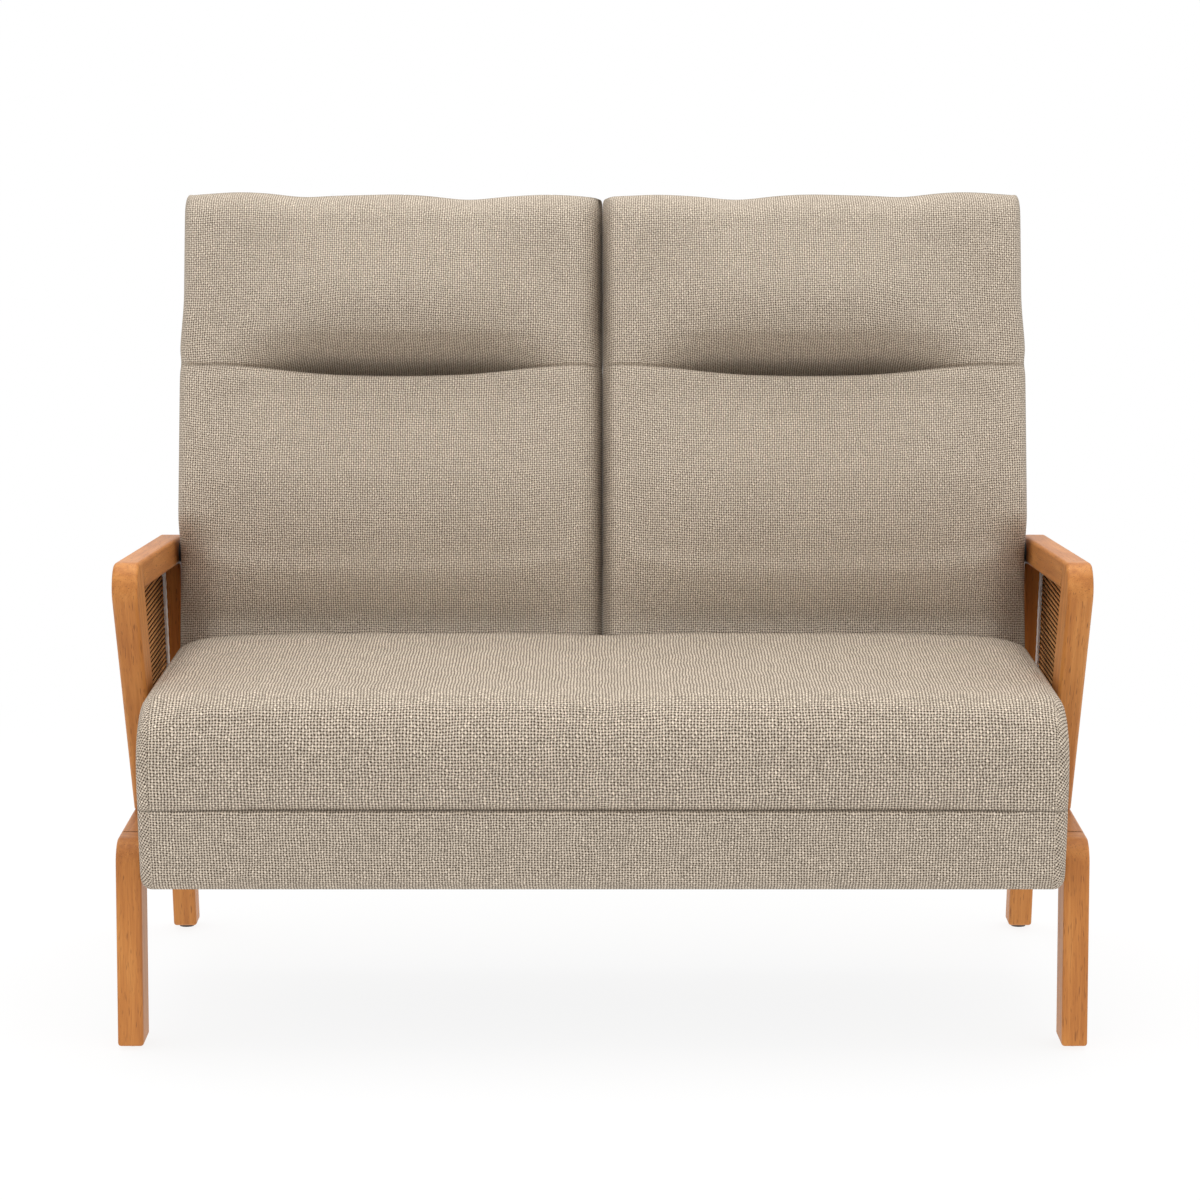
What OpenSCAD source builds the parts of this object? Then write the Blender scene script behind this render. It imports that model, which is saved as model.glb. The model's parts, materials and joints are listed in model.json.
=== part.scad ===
// High back two-seat settee: two timber side frames with woven panels, one upholstered
// seat unit bolted between them, and two leaning back units with a tucked head pillow.
// Millimetres. X runs across, Y from front to back, Z up from the floor.
// The origin is on the floor at the middle of the footprint.

/* [Side frames] */
// Width over the two side frames
frame_w = 1200; // [1040:10:1500]
// Thickness of the frame timber across the settee
timber_t = 32; // [30:1:40]
// Depth of a front leg
front_leg_d = 64; // [54:1:76]
// Depth of a rear leg, measured level
rear_leg_d = 48; // [42:1:58]
// Back unit's face at seat height to the rear leg's face at the floor
leg_reach_d = 272; // [240:2:340]
// Backward rake of the rear legs, in degrees
rear_rake = 16.6; // [13:0.1:19]
// Height of the side rail's top above the floor
side_rail_z = 263; // [250:1:280]
// Height of the side rail timber
side_rail_h = 60; // [50:1:75]
// Height of the arm's top, level with the front leg's face
arm_z = 608; // [575:1:650]
// Height of the arm timber
arm_h = 37; // [32:1:46]
// Fall of the arm towards the back, in degrees
arm_fall = 3.7; // [1:0.1:6]
// Front leg face to arm post, on top of the side rail
post_foot_y = 204; // [180:1:225]
// Backward slope of the arm post's front face, in degrees
post_slope = 34.3; // [30:0.1:36]
// Depth of the arm post at its foot, measured level
post_foot_d = 60; // [52:1:70]
// Depth of the arm post under the arm, measured level
post_head_d = 86; // [78:1:96]
// Radius of the front corners of the arm and of the leg
corner_r = 30; // [15:1:40]

/* [Woven panels] */
// Thickness of the woven panel
panel_t = 4; // [3:0.5:6]
// Outer timber face to the panel's outer side
panel_inset = 3; // [2:0.5:5]
// Depth of the groove that holds the panel
groove_d = 6; // [4:0.5:8]
// Diameter of the metal bead round the panel
bead_d = 5; // [3:0.5:6]

/* [Seat] */
// Height of the seat's side edges
seat_z = 447; // [430:1:480]
// Rise of the seat's middle above its side edges
seat_crown = 15; // [5:1:22]
// Dip between the two places
seat_dip = 3; // [0:0.5:6]
// Height of the underside of the seat unit
seat_bottom_z = 213; // [205:1:225]
// Seat nose to back unit, at seat height
seat_depth = 475; // [450:5:510]
// Seat nose in front of the front legs
seat_overhang_d = 90; // [70:1:110]
// Gap between the seat unit and each side frame
seat_gap = 4; // [2:0.5:8]
// Depth of the rounded seat nose
nose_d = 75; // [55:1:85]
// Height of the rounded seat nose
nose_h = 63; // [50:1:80]
// Height of the seam along the front border
border_seam_z = 317; // [300:1:330]
// Backward slope of the front border from nose to hem
border_setback = 27; // [15:1:32]
// Radius of the lower edges of the seat unit
hem_r = 28; // [18:1:34]

/* [Back units] */
// Height of the top of the back
back_top_z = 1029; // [960:1:1090]
// Backward lean of the back, in degrees
back_lean = 12; // [9:0.5:14]
// Thickness of a back unit at its side edges
back_t = 115; // [108:1:130]
// Gap between the two back units
back_gap = 3; // [2:0.5:8]
// Gap between a back unit and its side frame
back_side_gap = 5; // [3:0.5:8]
// Height of the head pillow, from its tucked seam to the top of the back
pillow_h = 221; // [200:1:250]
// Forward bulge of the head pillow
pillow_bulge = 26; // [15:1:34]
// Forward bulge of the lumbar part
lumbar_bulge = 18; // [8:1:24]
// Depth of the tuck
tuck_d = 12; // [6:1:16]

/* [Upholstery and inner frames] */
// Thickness of the cover with its wadding
cover_t = 12; // [10:0.5:14]
// Thickness of the cover behind the back frame
rear_skin_t = 6; // [4:0.5:8]
// Thickness of the seat rails
rail_t = 30; // [26:1:34]
// Height of the seat rails
rail_h = 70; // [62:1:80]
// Width of a back stile
stile_w = 45; // [40:1:55]
// Thickness of the back stiles and back rails
stile_t = 35; // [32:1:38]
// Width of the back rails
back_rail_w = 60; // [50:1:70]
// Width of a seat strap
seat_strap_w = 60; // [45:1:70]
// Width of a back strap
back_strap_w = 50; // [40:1:60]
// Thickness of the straps
strap_t = 2; // [1.5:0.5:3]
// Number of straps under each place
seat_strap_count = 4; // [3:1:5]
// Number of straps across each back unit
back_strap_count = 5; // [4:1:6]
// Thickness of the head pad
head_pad_t = 16; // [10:1:18]
// Thickness of the cloth under the seat
dust_t = 1; // [0.5:0.5:2]

/* [Fixings] */
// Diameter of the bolts
bolt_d = 8; // [6:1:8]
// Diameter of the threaded inserts
insert_d = 12; // [11:0.5:13]
// Length of the threaded inserts
insert_l = 20; // [15:1:24]
// Diameter of the dowels
dowel_d = 10; // [8:1:11]
// Length of the dowels
dowel_l = 50; // [40:1:52]
// Diameter of a floor glide
glide_d = 20; // [16:1:26]
// Height of a floor glide
glide_h = 5; // [3:0.5:8]

/* [Hidden] */
$fn = 48;

fit = 0.3;          // clearance between neighbouring pieces
slip = 0.05;        // radial clearance of a glued or threaded round fit
bolt_slack = 0.5;   // radial clearance of a bolt in its passage
overrun = 2;        // how far a cut runs past the face it opens
soft_gap = 3;       // clearance between the seat and back upholstery
rear_ledge_d = 6;   // seat unit's back face behind the back units
hem_t = 3;          // cover folded under the seat rails
hem_w = 28;         // width of that fold
head_h_share = 0.65;      // bolt head height, share of the bolt's diameter
head_af_share = 1.625;    // bolt head across flats, share of the bolt's diameter
washer_share = 2.25;      // washer diameter, share of the bolt's diameter
washer_t = 1.6;     // washer thickness
spacer_d = 26;      // diameter of the spacers beside the frames
dowel_pitch = 27;   // dowel pair in the side rail's ends
arm_pitch = 17;     // dowel pair in the arm's front joint
post_pitch = 24;    // dowel pair in the arm post's foot
leg_pitch = 21;     // dowel pair in the rear leg's head
nail_d = 3;         // shank of a floor glide
nail_l = 18;        // length of that shank
seat_bolt_drop_h = 23;    // seat bolts below the side rail's top
foot_bolt_x = 120;  // back foot bolt in from each side of a back unit
foot_bolt_grip = 30;      // back foot bolt above the seat deck
arm_bolt_drop_h = 21;     // arm bolt below the arm's top
arm_bolt_forward_d = 9;   // arm bolt in front of the middle of a back stile
leg_dowel_back = 3; // leg dowels behind the middle of the rear leg
join_low_h = 90;    // lower bolt that joins the back units, above the seat
join_high_h = 128;  // upper bolt that joins the back units, below their top
block_l = 60;       // corner block along each rail
block_h = 40;       // corner block height
pad_margin = 40;    // head pad in from the cover's cavity
top_front_r = 34;   // rounding of the back's top, front
top_rear_r = 10;    // rounding of the back's top, rear
side_r = 13;        // rounding of a back unit's upright front edges
edge_r = 9;         // rounding of the seat unit's side edges
seam_w = 5;         // width of the border seam's groove
seam_d = 3;         // depth of the border seam's groove
waist = 3;          // drawing-in of a back unit's sides at the tuck
shoulder = 12;      // drawing-in of a back unit's top corners
ripple = 3;         // rise and fall along the top of a back unit
front_crown_d = 4;  // forward bulge of the seat's front

// Places worked out from the sizes above. Depths are counted from the front leg's face.
back_face_y = seat_depth - seat_overhang_d;
leg_spread = back_face_y + leg_reach_d;
rear_foot_y = leg_spread + rear_leg_d;
middle_y = (rear_foot_y - seat_overhang_d - front_crown_d) / 2;
inner_x = frame_w / 2 - timber_t;
seat_half = inner_x - seat_gap;
rail_z0 = seat_bottom_z + hem_t;
rail_z1 = rail_z0 + rail_h;
deck_z = rail_z1 + strap_t + cover_t + fit;
back_w = inner_x - back_side_gap - back_gap / 2;
back_foot_y = back_face_y - (seat_z - deck_z) * tan(back_lean);
back_rear_y = back_foot_y + back_t / cos(back_lean);
back_l = (back_top_z - deck_z - (back_t - top_front_r) * sin(back_lean)) / cos(back_lean);
seat_rear_y = back_rear_y + rear_ledge_d;
back_rail_y = seat_rear_y - cover_t - fit - rail_t / 2;
cavity_front_y = border_setback + cover_t - seat_overhang_d;
rail_front_y = cavity_front_y + fit;
rail_back_y = seat_rear_y - cover_t - fit;
seat_rail_x = seat_half - cover_t - fit - rail_t;
seat_rail_y0 = rail_front_y + rail_t;
seat_rail_l = rail_back_y - rail_t - seat_rail_y0;
timber_mid = frame_w / 2 - timber_t / 2;
panel_x = frame_w / 2 - panel_inset - panel_t;
tuck_z = back_top_z - pillow_h;
tuck_v = (tuck_z - deck_z) / cos(back_lean) - back_t * tan(back_lean);
seat_v = (seat_z - deck_z) / cos(back_lean);
join_vs = [seat_v + join_low_h, back_l - join_high_h];
oak = "peru";
cloth = "tan";
softwood = "burlywood";
steel = "silver";

// Heights of the arm's two faces and depths of the sloping faces, as functions
function arm_top(y) = arm_z - y * tan(arm_fall);
function arm_under(y) = arm_top(y) - arm_h / cos(arm_fall);
function rake_front(z) = leg_spread - (z - glide_h) * tan(rear_rake);

// Where the sloping line through (y, z), leaning forward by slope t, meets the falling line at height h
function meet(y, z, t, h) =
    let (f = tan(arm_fall), top = (h - f * (y + t * z)) / (1 - f * t))
    [y - (top - z) * t, top];

// The arm post's back face: its foot, its head and its slope
post_foot = [post_foot_y + post_foot_d, side_rail_z];
post_head = let (p = meet(post_foot_y, side_rail_z, tan(post_slope), arm_under(0)))
    [p.x + post_head_d, arm_under(p.x + post_head_d)];
post_back_t = (post_foot.x - post_head.x) / (post_head.y - post_foot.y);

// An arc that rounds the corner b between a and c
function rounded(a, b, c, r, n = 10) =
    let (
        u = (a - b) / norm(a - b),
        w = (c - b) / norm(c - b),
        half = acos(u * w) / 2,
        m = (u + w) / norm(u + w),
        o = b + m * r / sin(half),
        t0 = b + u * r / tan(half) - o,
        t1 = b + w * r / tan(half) - o,
        a0 = atan2(t0.y, t0.x),
        turn = atan2(t0.x * t1.y - t0.y * t1.x, t0 * t1)
    )
    [for (i = [0:n]) o + r * [cos(a0 + turn * i / n), sin(a0 + turn * i / n)]];

// Outlines of the side frame, as depth and height
nose_corner = meet(post_foot_y, side_rail_z, tan(post_slope), arm_z);
arm_joint_top = meet(post_foot.x, post_foot.y, post_back_t, arm_z);
arm_end_top = meet(rear_foot_y, glide_h, tan(rear_rake), arm_z);
arm_end_low = meet(rear_foot_y, glide_h, tan(rear_rake), arm_under(0));
leg_head = meet(leg_spread, glide_h, tan(rear_rake), arm_under(0));
side_rail_low = side_rail_z - side_rail_h;

arm_post_outline = concat(
    [post_foot, [post_foot_y, side_rail_z]],
    rounded([post_foot_y, side_rail_z], nose_corner, arm_joint_top, corner_r),
    [arm_joint_top]
);
arm_rail_outline = [post_head, arm_joint_top, arm_end_top, arm_end_low];
side_rail_outline = [
    [front_leg_d, side_rail_low], [front_leg_d, side_rail_z],
    [rake_front(side_rail_z), side_rail_z], [rake_front(side_rail_low), side_rail_low],
];
front_leg_outline = concat(
    [[front_leg_d, side_rail_z], [front_leg_d, glide_h], [0, glide_h]],
    rounded([0, glide_h], [0, side_rail_z], [front_leg_d, side_rail_z], corner_r)
);
rear_leg_outline = [[leg_spread, glide_h], leg_head, arm_end_low, [rear_foot_y, glide_h]];

// The panel's opening, grown by g into the timber round it
function opening(g) =
    let (
        low = side_rail_z - g,
        h = arm_under(0) + g,
        front = post_foot.x - g,
        back = leg_spread + g
    )
    [
        [front - (low - post_foot.y) * post_back_t, low],
        meet(front, post_foot.y, post_back_t, h),
        meet(back, glide_h, tan(rear_rake), h),
        [rake_front(low) + g, low],
    ];

// Dowels of one side frame: [joint place, tilt of the axis above level]
rail_mid_z = side_rail_z - side_rail_h / 2;
arm_joint_mid = (post_head + arm_joint_top) / 2;
arm_joint_dir = (arm_joint_top - post_head) / norm(arm_joint_top - post_head);
leg_head_mid = (leg_head + arm_end_low) / 2;
dowels = [
    for (s = [-1, 1] / 2) each [
        [[front_leg_d, rail_mid_z + s * dowel_pitch], 0],
        [[rake_front(rail_mid_z + s * dowel_pitch), rail_mid_z + s * dowel_pitch], 0],
        [[post_foot_y + post_foot_d / 2 + s * post_pitch, side_rail_z], 90 + post_slope],
        [arm_joint_mid + s * arm_pitch * arm_joint_dir, -arm_fall],
        [leg_head_mid + (s * leg_pitch + leg_dowel_back) * [cos(arm_fall), -sin(arm_fall)], 90 + rear_rake],
    ]
];

// Bolt axes. The arm bolt passes through a back stile.
seat_bolt_z = side_rail_z - seat_bolt_drop_h;
seat_bolt_front_y = front_leg_d + dowel_l + insert_d;
seat_bolt_rear_y = rail_back_y - rail_t - block_l - bolt_d * washer_share;
seat_bolt_ys = [seat_bolt_front_y, seat_bolt_rear_y];
stile_mid = rear_skin_t + fit + stile_t / 2;
arm_bolt_reach = (arm_z - arm_bolt_drop_h - deck_z) * tan(back_lean);
arm_bolt_level_y = back_rear_y + arm_bolt_reach - stile_mid / cos(back_lean);
arm_bolt_y = arm_bolt_level_y / (1 + tan(arm_fall) * tan(back_lean)) - arm_bolt_forward_d;
arm_bolt_z = arm_top(arm_bolt_y) - arm_bolt_drop_h;
foot_bolt_xs = [back_gap / 2 + foot_bolt_x, back_gap / 2 + back_w - foot_bolt_x];
head_h = bolt_d * head_h_share;
head_af = bolt_d * head_af_share;
washer_d = bolt_d * washer_share;

// Placing helpers
module in_place() {
    translate([0, -middle_y, 0]) children();
}

// Stands an outline of depth and height up, from x to x + t
module slab(outline, x, t) {
    translate([x, 0, 0]) rotate([90, 0, 90]) linear_extrude(t) polygon(outline);
}

// side is -1 for the left, as seen from the front, and 1 for the right
module on_side(side) {
    in_place() mirror([side < 0 ? 1 : 0, 0, 0]) children();
}

// One back unit's own frame: its outer corner of the foot, Z up the lean
module in_back(side) {
    on_side(side) translate([back_gap / 2, back_rear_y, deck_z]) rotate([-back_lean, 0, 0]) children();
}

// A level rod along X
module rod_x(x, y, z, l, d) {
    translate([x, y, z]) rotate([0, 90, 0]) cylinder(h = l, d = d);
}

module dowel_rods(d, l) {
    for (j = dowels)
        translate([timber_mid, j[0].x, j[0].y]) rotate([j[1] - 90, 0, 0])
            cylinder(h = l, d = d, center = true);
}

// Timber of a side frame, drilled for its dowels and grooved for its panel
module frame_timber(outline) {
    color(oak) difference() {
        slab(outline, inner_x, timber_t);
        dowel_rods(dowel_d + 2 * slip, dowel_l + 2 * fit);
        slab(opening(groove_d), panel_x - fit, panel_t + 2 * fit);
        children();
    }
}

module arm_rail(side) {
    on_side(side) frame_timber(arm_rail_outline)
        rod_x(inner_x - overrun, arm_bolt_y, arm_bolt_z, insert_l + overrun + fit, insert_d + 2 * slip);
}

module arm_post(side) {
    on_side(side) frame_timber(arm_post_outline);
}

module side_rail(side) {
    on_side(side) frame_timber(side_rail_outline)
        for (y = seat_bolt_ys)
            rod_x(inner_x - overrun, y, seat_bolt_z, insert_l + overrun + fit, insert_d + 2 * slip);
}

module glide_holes() {
    for (y = [front_leg_d / 2, rear_foot_y - rear_leg_d / 2])
        translate([timber_mid, y, glide_h - overrun])
            cylinder(h = nail_l + overrun + fit, d = nail_d + 2 * slip);
}

module front_leg(side) {
    on_side(side) frame_timber(front_leg_outline) glide_holes();
}

module rear_leg(side) {
    on_side(side) frame_timber(rear_leg_outline) glide_holes();
}

module woven_panel(side) {
    color("chocolate") on_side(side) slab(opening(groove_d - fit), panel_x, panel_t);
}

// How far a bead of the panel stops short of a corner, where a wall of the given
// thickness stands on the other edge
function bead_stop(p, q, r, wall) =
    let (u = (p - q) / norm(p - q), w = (r - q) / norm(r - q), c = u * w)
    (wall + fit + (bead_d + fit) * max(0, c)) / sqrt(1 - c * c);

// A round bead along one edge of the opening, on the panel's inner side
module bead(o, i, wall) {
    a = o[i];
    b = o[(i + 1) % 4];
    d = (b - a) / norm(b - a);
    start = bead_stop(o[(i + 3) % 4], a, b, wall);
    end = bead_stop(a, b, o[(i + 2) % 4], wall);
    centre = a + start * d + (bead_d / 2 + fit) * [d.y, -d.x];
    translate([panel_x - fit - bead_d / 2, centre.x, centre.y])
        rotate([atan2(d.y, d.x) - 90, 0, 0])
            cylinder(h = norm(b - a) - start - end, d = bead_d);
}

module panel_beads(side) {
    color(steel) on_side(side) for (i = [0:3])
        bead(opening(0), i, i % 2 == 0 ? 0 : bead_d + 2 * fit);
}

module frame_dowels(side) {
    color(softwood) on_side(side) dowel_rods(dowel_d, dowel_l);
}

module floor_glides() {
    color("dimgray") for (side = [-1, 1])
        on_side(side) for (y = [front_leg_d / 2, rear_foot_y - rear_leg_d / 2])
            translate([timber_mid, y, 0]) {
                cylinder(h = glide_h, d = glide_d);
                translate([0, 0, glide_h - slip]) cylinder(h = nail_l + slip, d = nail_d);
            }
}

// A seat rail as a box
module seat_rail(x, y, w, d) {
    color(softwood) translate([x, y, rail_z0]) cube([w, d, rail_h]);
}

module seat_front_rail() {
    color(softwood) in_place() intersection() {
        slab(seat_outline(cover_t + fit, 0, 0, hem_t), -seat_rail_x - rail_t, 2 * (seat_rail_x + rail_t));
        translate([-seat_half, -seat_overhang_d, rail_z0])
            cube([2 * seat_half, seat_overhang_d + seat_rail_y0, rail_h]);
    }
}

module foot_bolt_rods(d, z0, z1) {
    for (side = [-1, 1])
        on_side(side) for (x = foot_bolt_xs)
            translate([x, back_rail_y, z0]) cylinder(h = z1 - z0, d = d);
}

module seat_back_rail() {
    difference() {
        in_place() seat_rail(
            -seat_rail_x - rail_t, rail_back_y - rail_t, 2 * (seat_rail_x + rail_t), rail_t);
        foot_bolt_rods(bolt_d + 2 * bolt_slack, rail_z0 - overrun, rail_z1 + overrun);
        foot_bolt_rods(washer_d + 2 * bolt_slack, rail_z0 - overrun, rail_z0 + head_h + washer_t);
    }
}

module seat_side_rail(side) {
    on_side(side) difference() {
        seat_rail(seat_rail_x, seat_rail_y0, rail_t, seat_rail_l);
        color(softwood) for (y = seat_bolt_ys)
            rod_x(seat_rail_x - overrun, y, seat_bolt_z, rail_t + 2 * overrun, bolt_d + 2 * bolt_slack);
    }
}

module seat_centre_rail() {
    in_place() seat_rail(-rail_t / 2, seat_rail_y0, rail_t, seat_rail_l);
}

module seat_corner_blocks() {
    color(softwood) for (side = [-1, 1])
        on_side(side) for (back = [0, 1])
            translate([seat_rail_x, seat_rail_y0 + back * seat_rail_l, rail_z0 + (rail_h - block_h) / 2])
                mirror([0, back, 0]) linear_extrude(block_h)
                    polygon([[0, 0], [-block_l, 0], [0, block_l]]);
}

// Seat straps run from the front rail to the back rail, clear of the foot bolts
strap_span = seat_rail_x - rail_t / 2;
strap_pitch = strap_span / seat_strap_count;
module seat_straps() {
    color("saddlebrown") for (side = [-1, 1])
        on_side(side) for (i = [0:seat_strap_count - 1])
            translate([rail_t / 2 + (i + 0.5) * strap_pitch - seat_strap_w / 2, rail_front_y, rail_z1])
                cube([seat_strap_w, rail_back_y - rail_t - rail_front_y, strap_t]);
}

// Side view of the seat unit, drawn in by g all round, lifted on top by c and
// pushed forward in front by f. The hem can be drawn in by its own amount.
nose_steps = 9;
hem_steps = 4;
function seat_outline(g, c = 0, f = 0, hem = -1) =
    let (
        low = seat_bottom_z + (hem < 0 ? g : hem),
        top = seat_z + c - g,
        nose = g - f - seat_overhang_d,
        brow = top - nose_h,
        hem_y = nose + border_setback + f,
        gather = seam_d,
        seam_y = nose + border_setback * pow((brow - border_seam_z) / (brow - low), 1.3),
        foot = back_foot_y - soft_gap - g,
        head = back_face_y - soft_gap - g,
        r = max(hem_r - g, edge_r)
    )
    concat(
        [[seat_rear_y - g, low]],
        [for (i = [0:hem_steps]) let (a = 270 - 90 * i / hem_steps)
            [hem_y + r + r * cos(a), low + r + r * sin(a)]],
        [[seam_y, border_seam_z - seam_w], [seam_y + gather, border_seam_z],
            [seam_y - gather / 2, border_seam_z + seam_w]],
        [for (i = [0:nose_steps]) let (a = 180 - 90 * i / nose_steps)
            [nose + nose_d + nose_d * cos(a), brow + nose_h * sin(a)]],
        [for (k = [1:3]) [nose + nose_d + (head - nose - nose_d) * k / 4, top]],
        [[head, top], [foot, deck_z - g], [seat_rear_y - g, deck_z - g]]
    );

// The seat unit is lofted across from side to side
function seat_rise(x) =
    let (s = abs(x) / seat_half)
    seat_crown * (1 - pow(s, 6)) - seat_dip * exp(-pow(6 * s, 2));

// Slices from a side to the middle: share of the half width, share of the edge's rounding
seat_slice_shares = [
    [1, 1], [0.995, 0.38], [0.985, 0.05], [0.955, 0], [0.9, 0],
    [0.8, 0], [0.62, 0], [0.42, 0], [0.22, 0], [0.08, 0],
];
seat_half_slices = [for (s = seat_slice_shares) [seat_half * s[0], edge_r * s[1]]];
seat_slices = concat(
    [for (s = seat_half_slices) [-s[0], s[1]]],
    [for (i = [len(seat_half_slices) - 1:-1:0]) seat_half_slices[i]]
);

// Triangles across a ring of n points that starts at point k
function ring_cap(n, k) = [
    for (i = [0:ceil(n / 2) - 2]) each [
        [k + i, k + i + 1, k + n - 1 - i],
        if (n - 2 - i > i + 1) [k + i + 1, k + n - 2 - i, k + n - 1 - i],
    ]
];

// A closed skin through rings of points with the same count
module skin(rings) {
    n = len(rings[0]);
    m = len(rings);
    polyhedron(
        points = [for (r = rings) each r],
        faces = concat(
            ring_cap(n, 0),
            [for (k = [0:m - 2], i = [0:n - 1]) let (j = (i + 1) % n)
                [k * n + i, (k + 1) * n + i, (k + 1) * n + j]],
            [for (k = [0:m - 2], i = [0:n - 1]) let (j = (i + 1) % n)
                [k * n + i, (k + 1) * n + j, k * n + j]],
            [for (t = ring_cap(n, (m - 1) * n)) [t[0], t[2], t[1]]]
        ),
        convexity = 6
    );
}

module seat_form() {
    skin([for (s = seat_slices)
        [for (p = seat_outline(s[1], seat_rise(s[0]), front_crown_d * (1 - pow(s[0] / seat_half, 2))))
            [s[0], p.x, p.y]]]);
}

module seat_cavity(g) {
    slab(seat_outline(g, 0, 0, hem_t), g - seat_half, 2 * (seat_half - g));
}

module seat_side_bolt_rods(x, l, d) {
    for (side = [-1, 1])
        on_side(side) for (y = seat_bolt_ys) rod_x(x, y, seat_bolt_z, l, d);
}

hem_front_y = cavity_front_y + hem_w;
module seat_cover() {
    color(cloth) difference() {
        in_place() seat_form();
        in_place() seat_cavity(cover_t);
        in_place() translate([hem_w - seat_half, hem_front_y, seat_bottom_z - overrun])
            cube([2 * (seat_half - hem_w), seat_rear_y - hem_w - hem_front_y, hem_t + 2 * overrun]);
        seat_side_bolt_rods(seat_half - cover_t - overrun, cover_t + 2 * overrun, bolt_d + 2 * bolt_slack);
        foot_bolt_rods(bolt_d + 2 * bolt_slack, rail_z1, deck_z + overrun);
        foot_bolt_rods(washer_d + 2 * bolt_slack, seat_bottom_z - overrun, rail_z0 + overrun);
    }
}

// The foam sits on the straps, inside the cover
foam_z0 = rail_z1 + strap_t + fit;
module seat_foam() {
    color("khaki") in_place() difference() {
        slab(seat_outline(cover_t + fit), fit + cover_t - seat_half, 2 * (seat_half - cover_t - fit));
        translate([-seat_half, -seat_overhang_d, seat_bottom_z])
            cube([2 * seat_half, seat_overhang_d + seat_rear_y, foam_z0 - seat_bottom_z]);
    }
}

module seat_dust_cover() {
    color("dimgray") in_place() difference() {
        translate([hem_w / 2 - seat_half, cavity_front_y + hem_w / 2, seat_bottom_z - dust_t])
            cube([2 * seat_half - hem_w, seat_rear_y - hem_w - cavity_front_y, dust_t]);
        translate([0, middle_y, 0])
            foot_bolt_rods(
                washer_d + 2 * bolt_slack, seat_bottom_z - dust_t - overrun, seat_bottom_z + overrun);
    }
}

// A hexagon bolt along Z, with its washer's seat at 0 and l of shank past it
module bolt(l) {
    translate([0, 0, -head_h - washer_t]) cylinder(h = head_h, d = head_af / cos(30), $fn = 6);
    translate([0, 0, -washer_t]) cylinder(h = l + washer_t, d = bolt_d);
}

// The washer under that bolt's head
module washer() {
    translate([0, 0, -washer_t]) difference() {
        cylinder(h = washer_t, d = washer_d);
        translate([0, 0, -overrun]) cylinder(h = washer_t + 2 * overrun, d = bolt_d + 2 * slip);
    }
}

// Places of the bolts: each stands a bolt or a washer on its seat
module at_seat_bolts() {
    for (side = [-1, 1])
        on_side(side) for (y = seat_bolt_ys)
            translate([seat_rail_x, y, seat_bolt_z]) rotate([0, 90, 0]) children();
}

module at_foot_bolts() {
    for (side = [-1, 1])
        on_side(side) for (x = foot_bolt_xs)
            translate([x, back_rail_y, rail_z0 + head_h + washer_t]) children();
}

module at_arm_bolts() {
    for (side = [-1, 1])
        on_side(side) translate([inner_x - arm_bolt_grip, arm_bolt_y, arm_bolt_z]) rotate([0, 90, 0])
            children();
}

module at_joining_bolts() {
    in_back(1) for (v = join_vs)
        translate([-back_gap / 2 - join_grip, stile_y + stile_t / 2, v]) rotate([0, 90, 0]) children();
}

module seat_bolts() {
    color(steel) at_seat_bolts() bolt(inner_x + insert_l - seat_rail_x);
}

module insert(x, y, z) {
    translate([x, y, z]) rotate([0, 90, 0]) difference() {
        cylinder(h = insert_l, d = insert_d);
        translate([0, 0, -overrun]) cylinder(h = insert_l + 2 * overrun, d = bolt_d + 2 * slip);
    }
}

module threaded_inserts() {
    color("gold") for (side = [-1, 1])
        on_side(side) {
            for (y = seat_bolt_ys) insert(inner_x, y, seat_bolt_z);
            insert(inner_x, arm_bolt_y, arm_bolt_z);
        }
}

module spacer(x, y, z, t) {
    translate([x, y, z]) rotate([0, 90, 0]) difference() {
        cylinder(h = t, d = spacer_d);
        translate([0, 0, -overrun]) cylinder(h = t + 2 * overrun, d = bolt_d + 2 * bolt_slack);
    }
}

module frame_spacers() {
    color("black") for (side = [-1, 1])
        on_side(side) {
            for (y = seat_bolt_ys) spacer(seat_half, y, seat_bolt_z, seat_gap);
            spacer(inner_x - back_side_gap, arm_bolt_y, arm_bolt_z, back_side_gap);
        }
}

// Back units. In a unit's own frame x runs out from the middle of the settee,
// depth t runs forward from its rear face and v runs up the lean.
module below_deck(g) {
    translate([-overrun, 0, deck_z + g - back_t]) cube([back_w + 2 * overrun, 2 * back_rear_y, back_t]);
}

// Cuts a back piece level, g above the deck
module on_deck(side, g) {
    difference() {
        children();
        on_side(side) translate([back_gap / 2, 0, 0]) below_deck(g);
    }
}

stile_y = -rear_skin_t - fit - stile_t;
arm_bolt_grip = back_side_gap + cover_t + fit + stile_w;
join_grip = back_gap / 2 + cover_t + fit + stile_w;
stile_x0 = cover_t + fit;
stile_x1 = back_w - cover_t - fit - stile_w;
frame_l = back_l - cover_t - fit;
module arm_bolt_rods(side, x, l, d) {
    on_side(side) rod_x(x, arm_bolt_y, arm_bolt_z, l, d);
}

module join_rods(side, d) {
    in_back(side) for (v = join_vs)
        rod_x(-overrun, stile_y + stile_t / 2, v, cover_t + stile_w + 2 * overrun, d);
}

module back_stiles(side) {
    color(softwood) difference() {
        on_deck(side, fit) in_back(side) for (x = [stile_x0, stile_x1])
            translate([x, stile_y, -back_rail_w]) cube([stile_w, stile_t, frame_l + back_rail_w]);
        arm_bolt_rods(side, inner_x - back_rail_w - stile_w, back_rail_w + stile_w, bolt_d + 2 * bolt_slack);
        join_rods(side, bolt_d + 2 * bolt_slack);
    }
}

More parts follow.
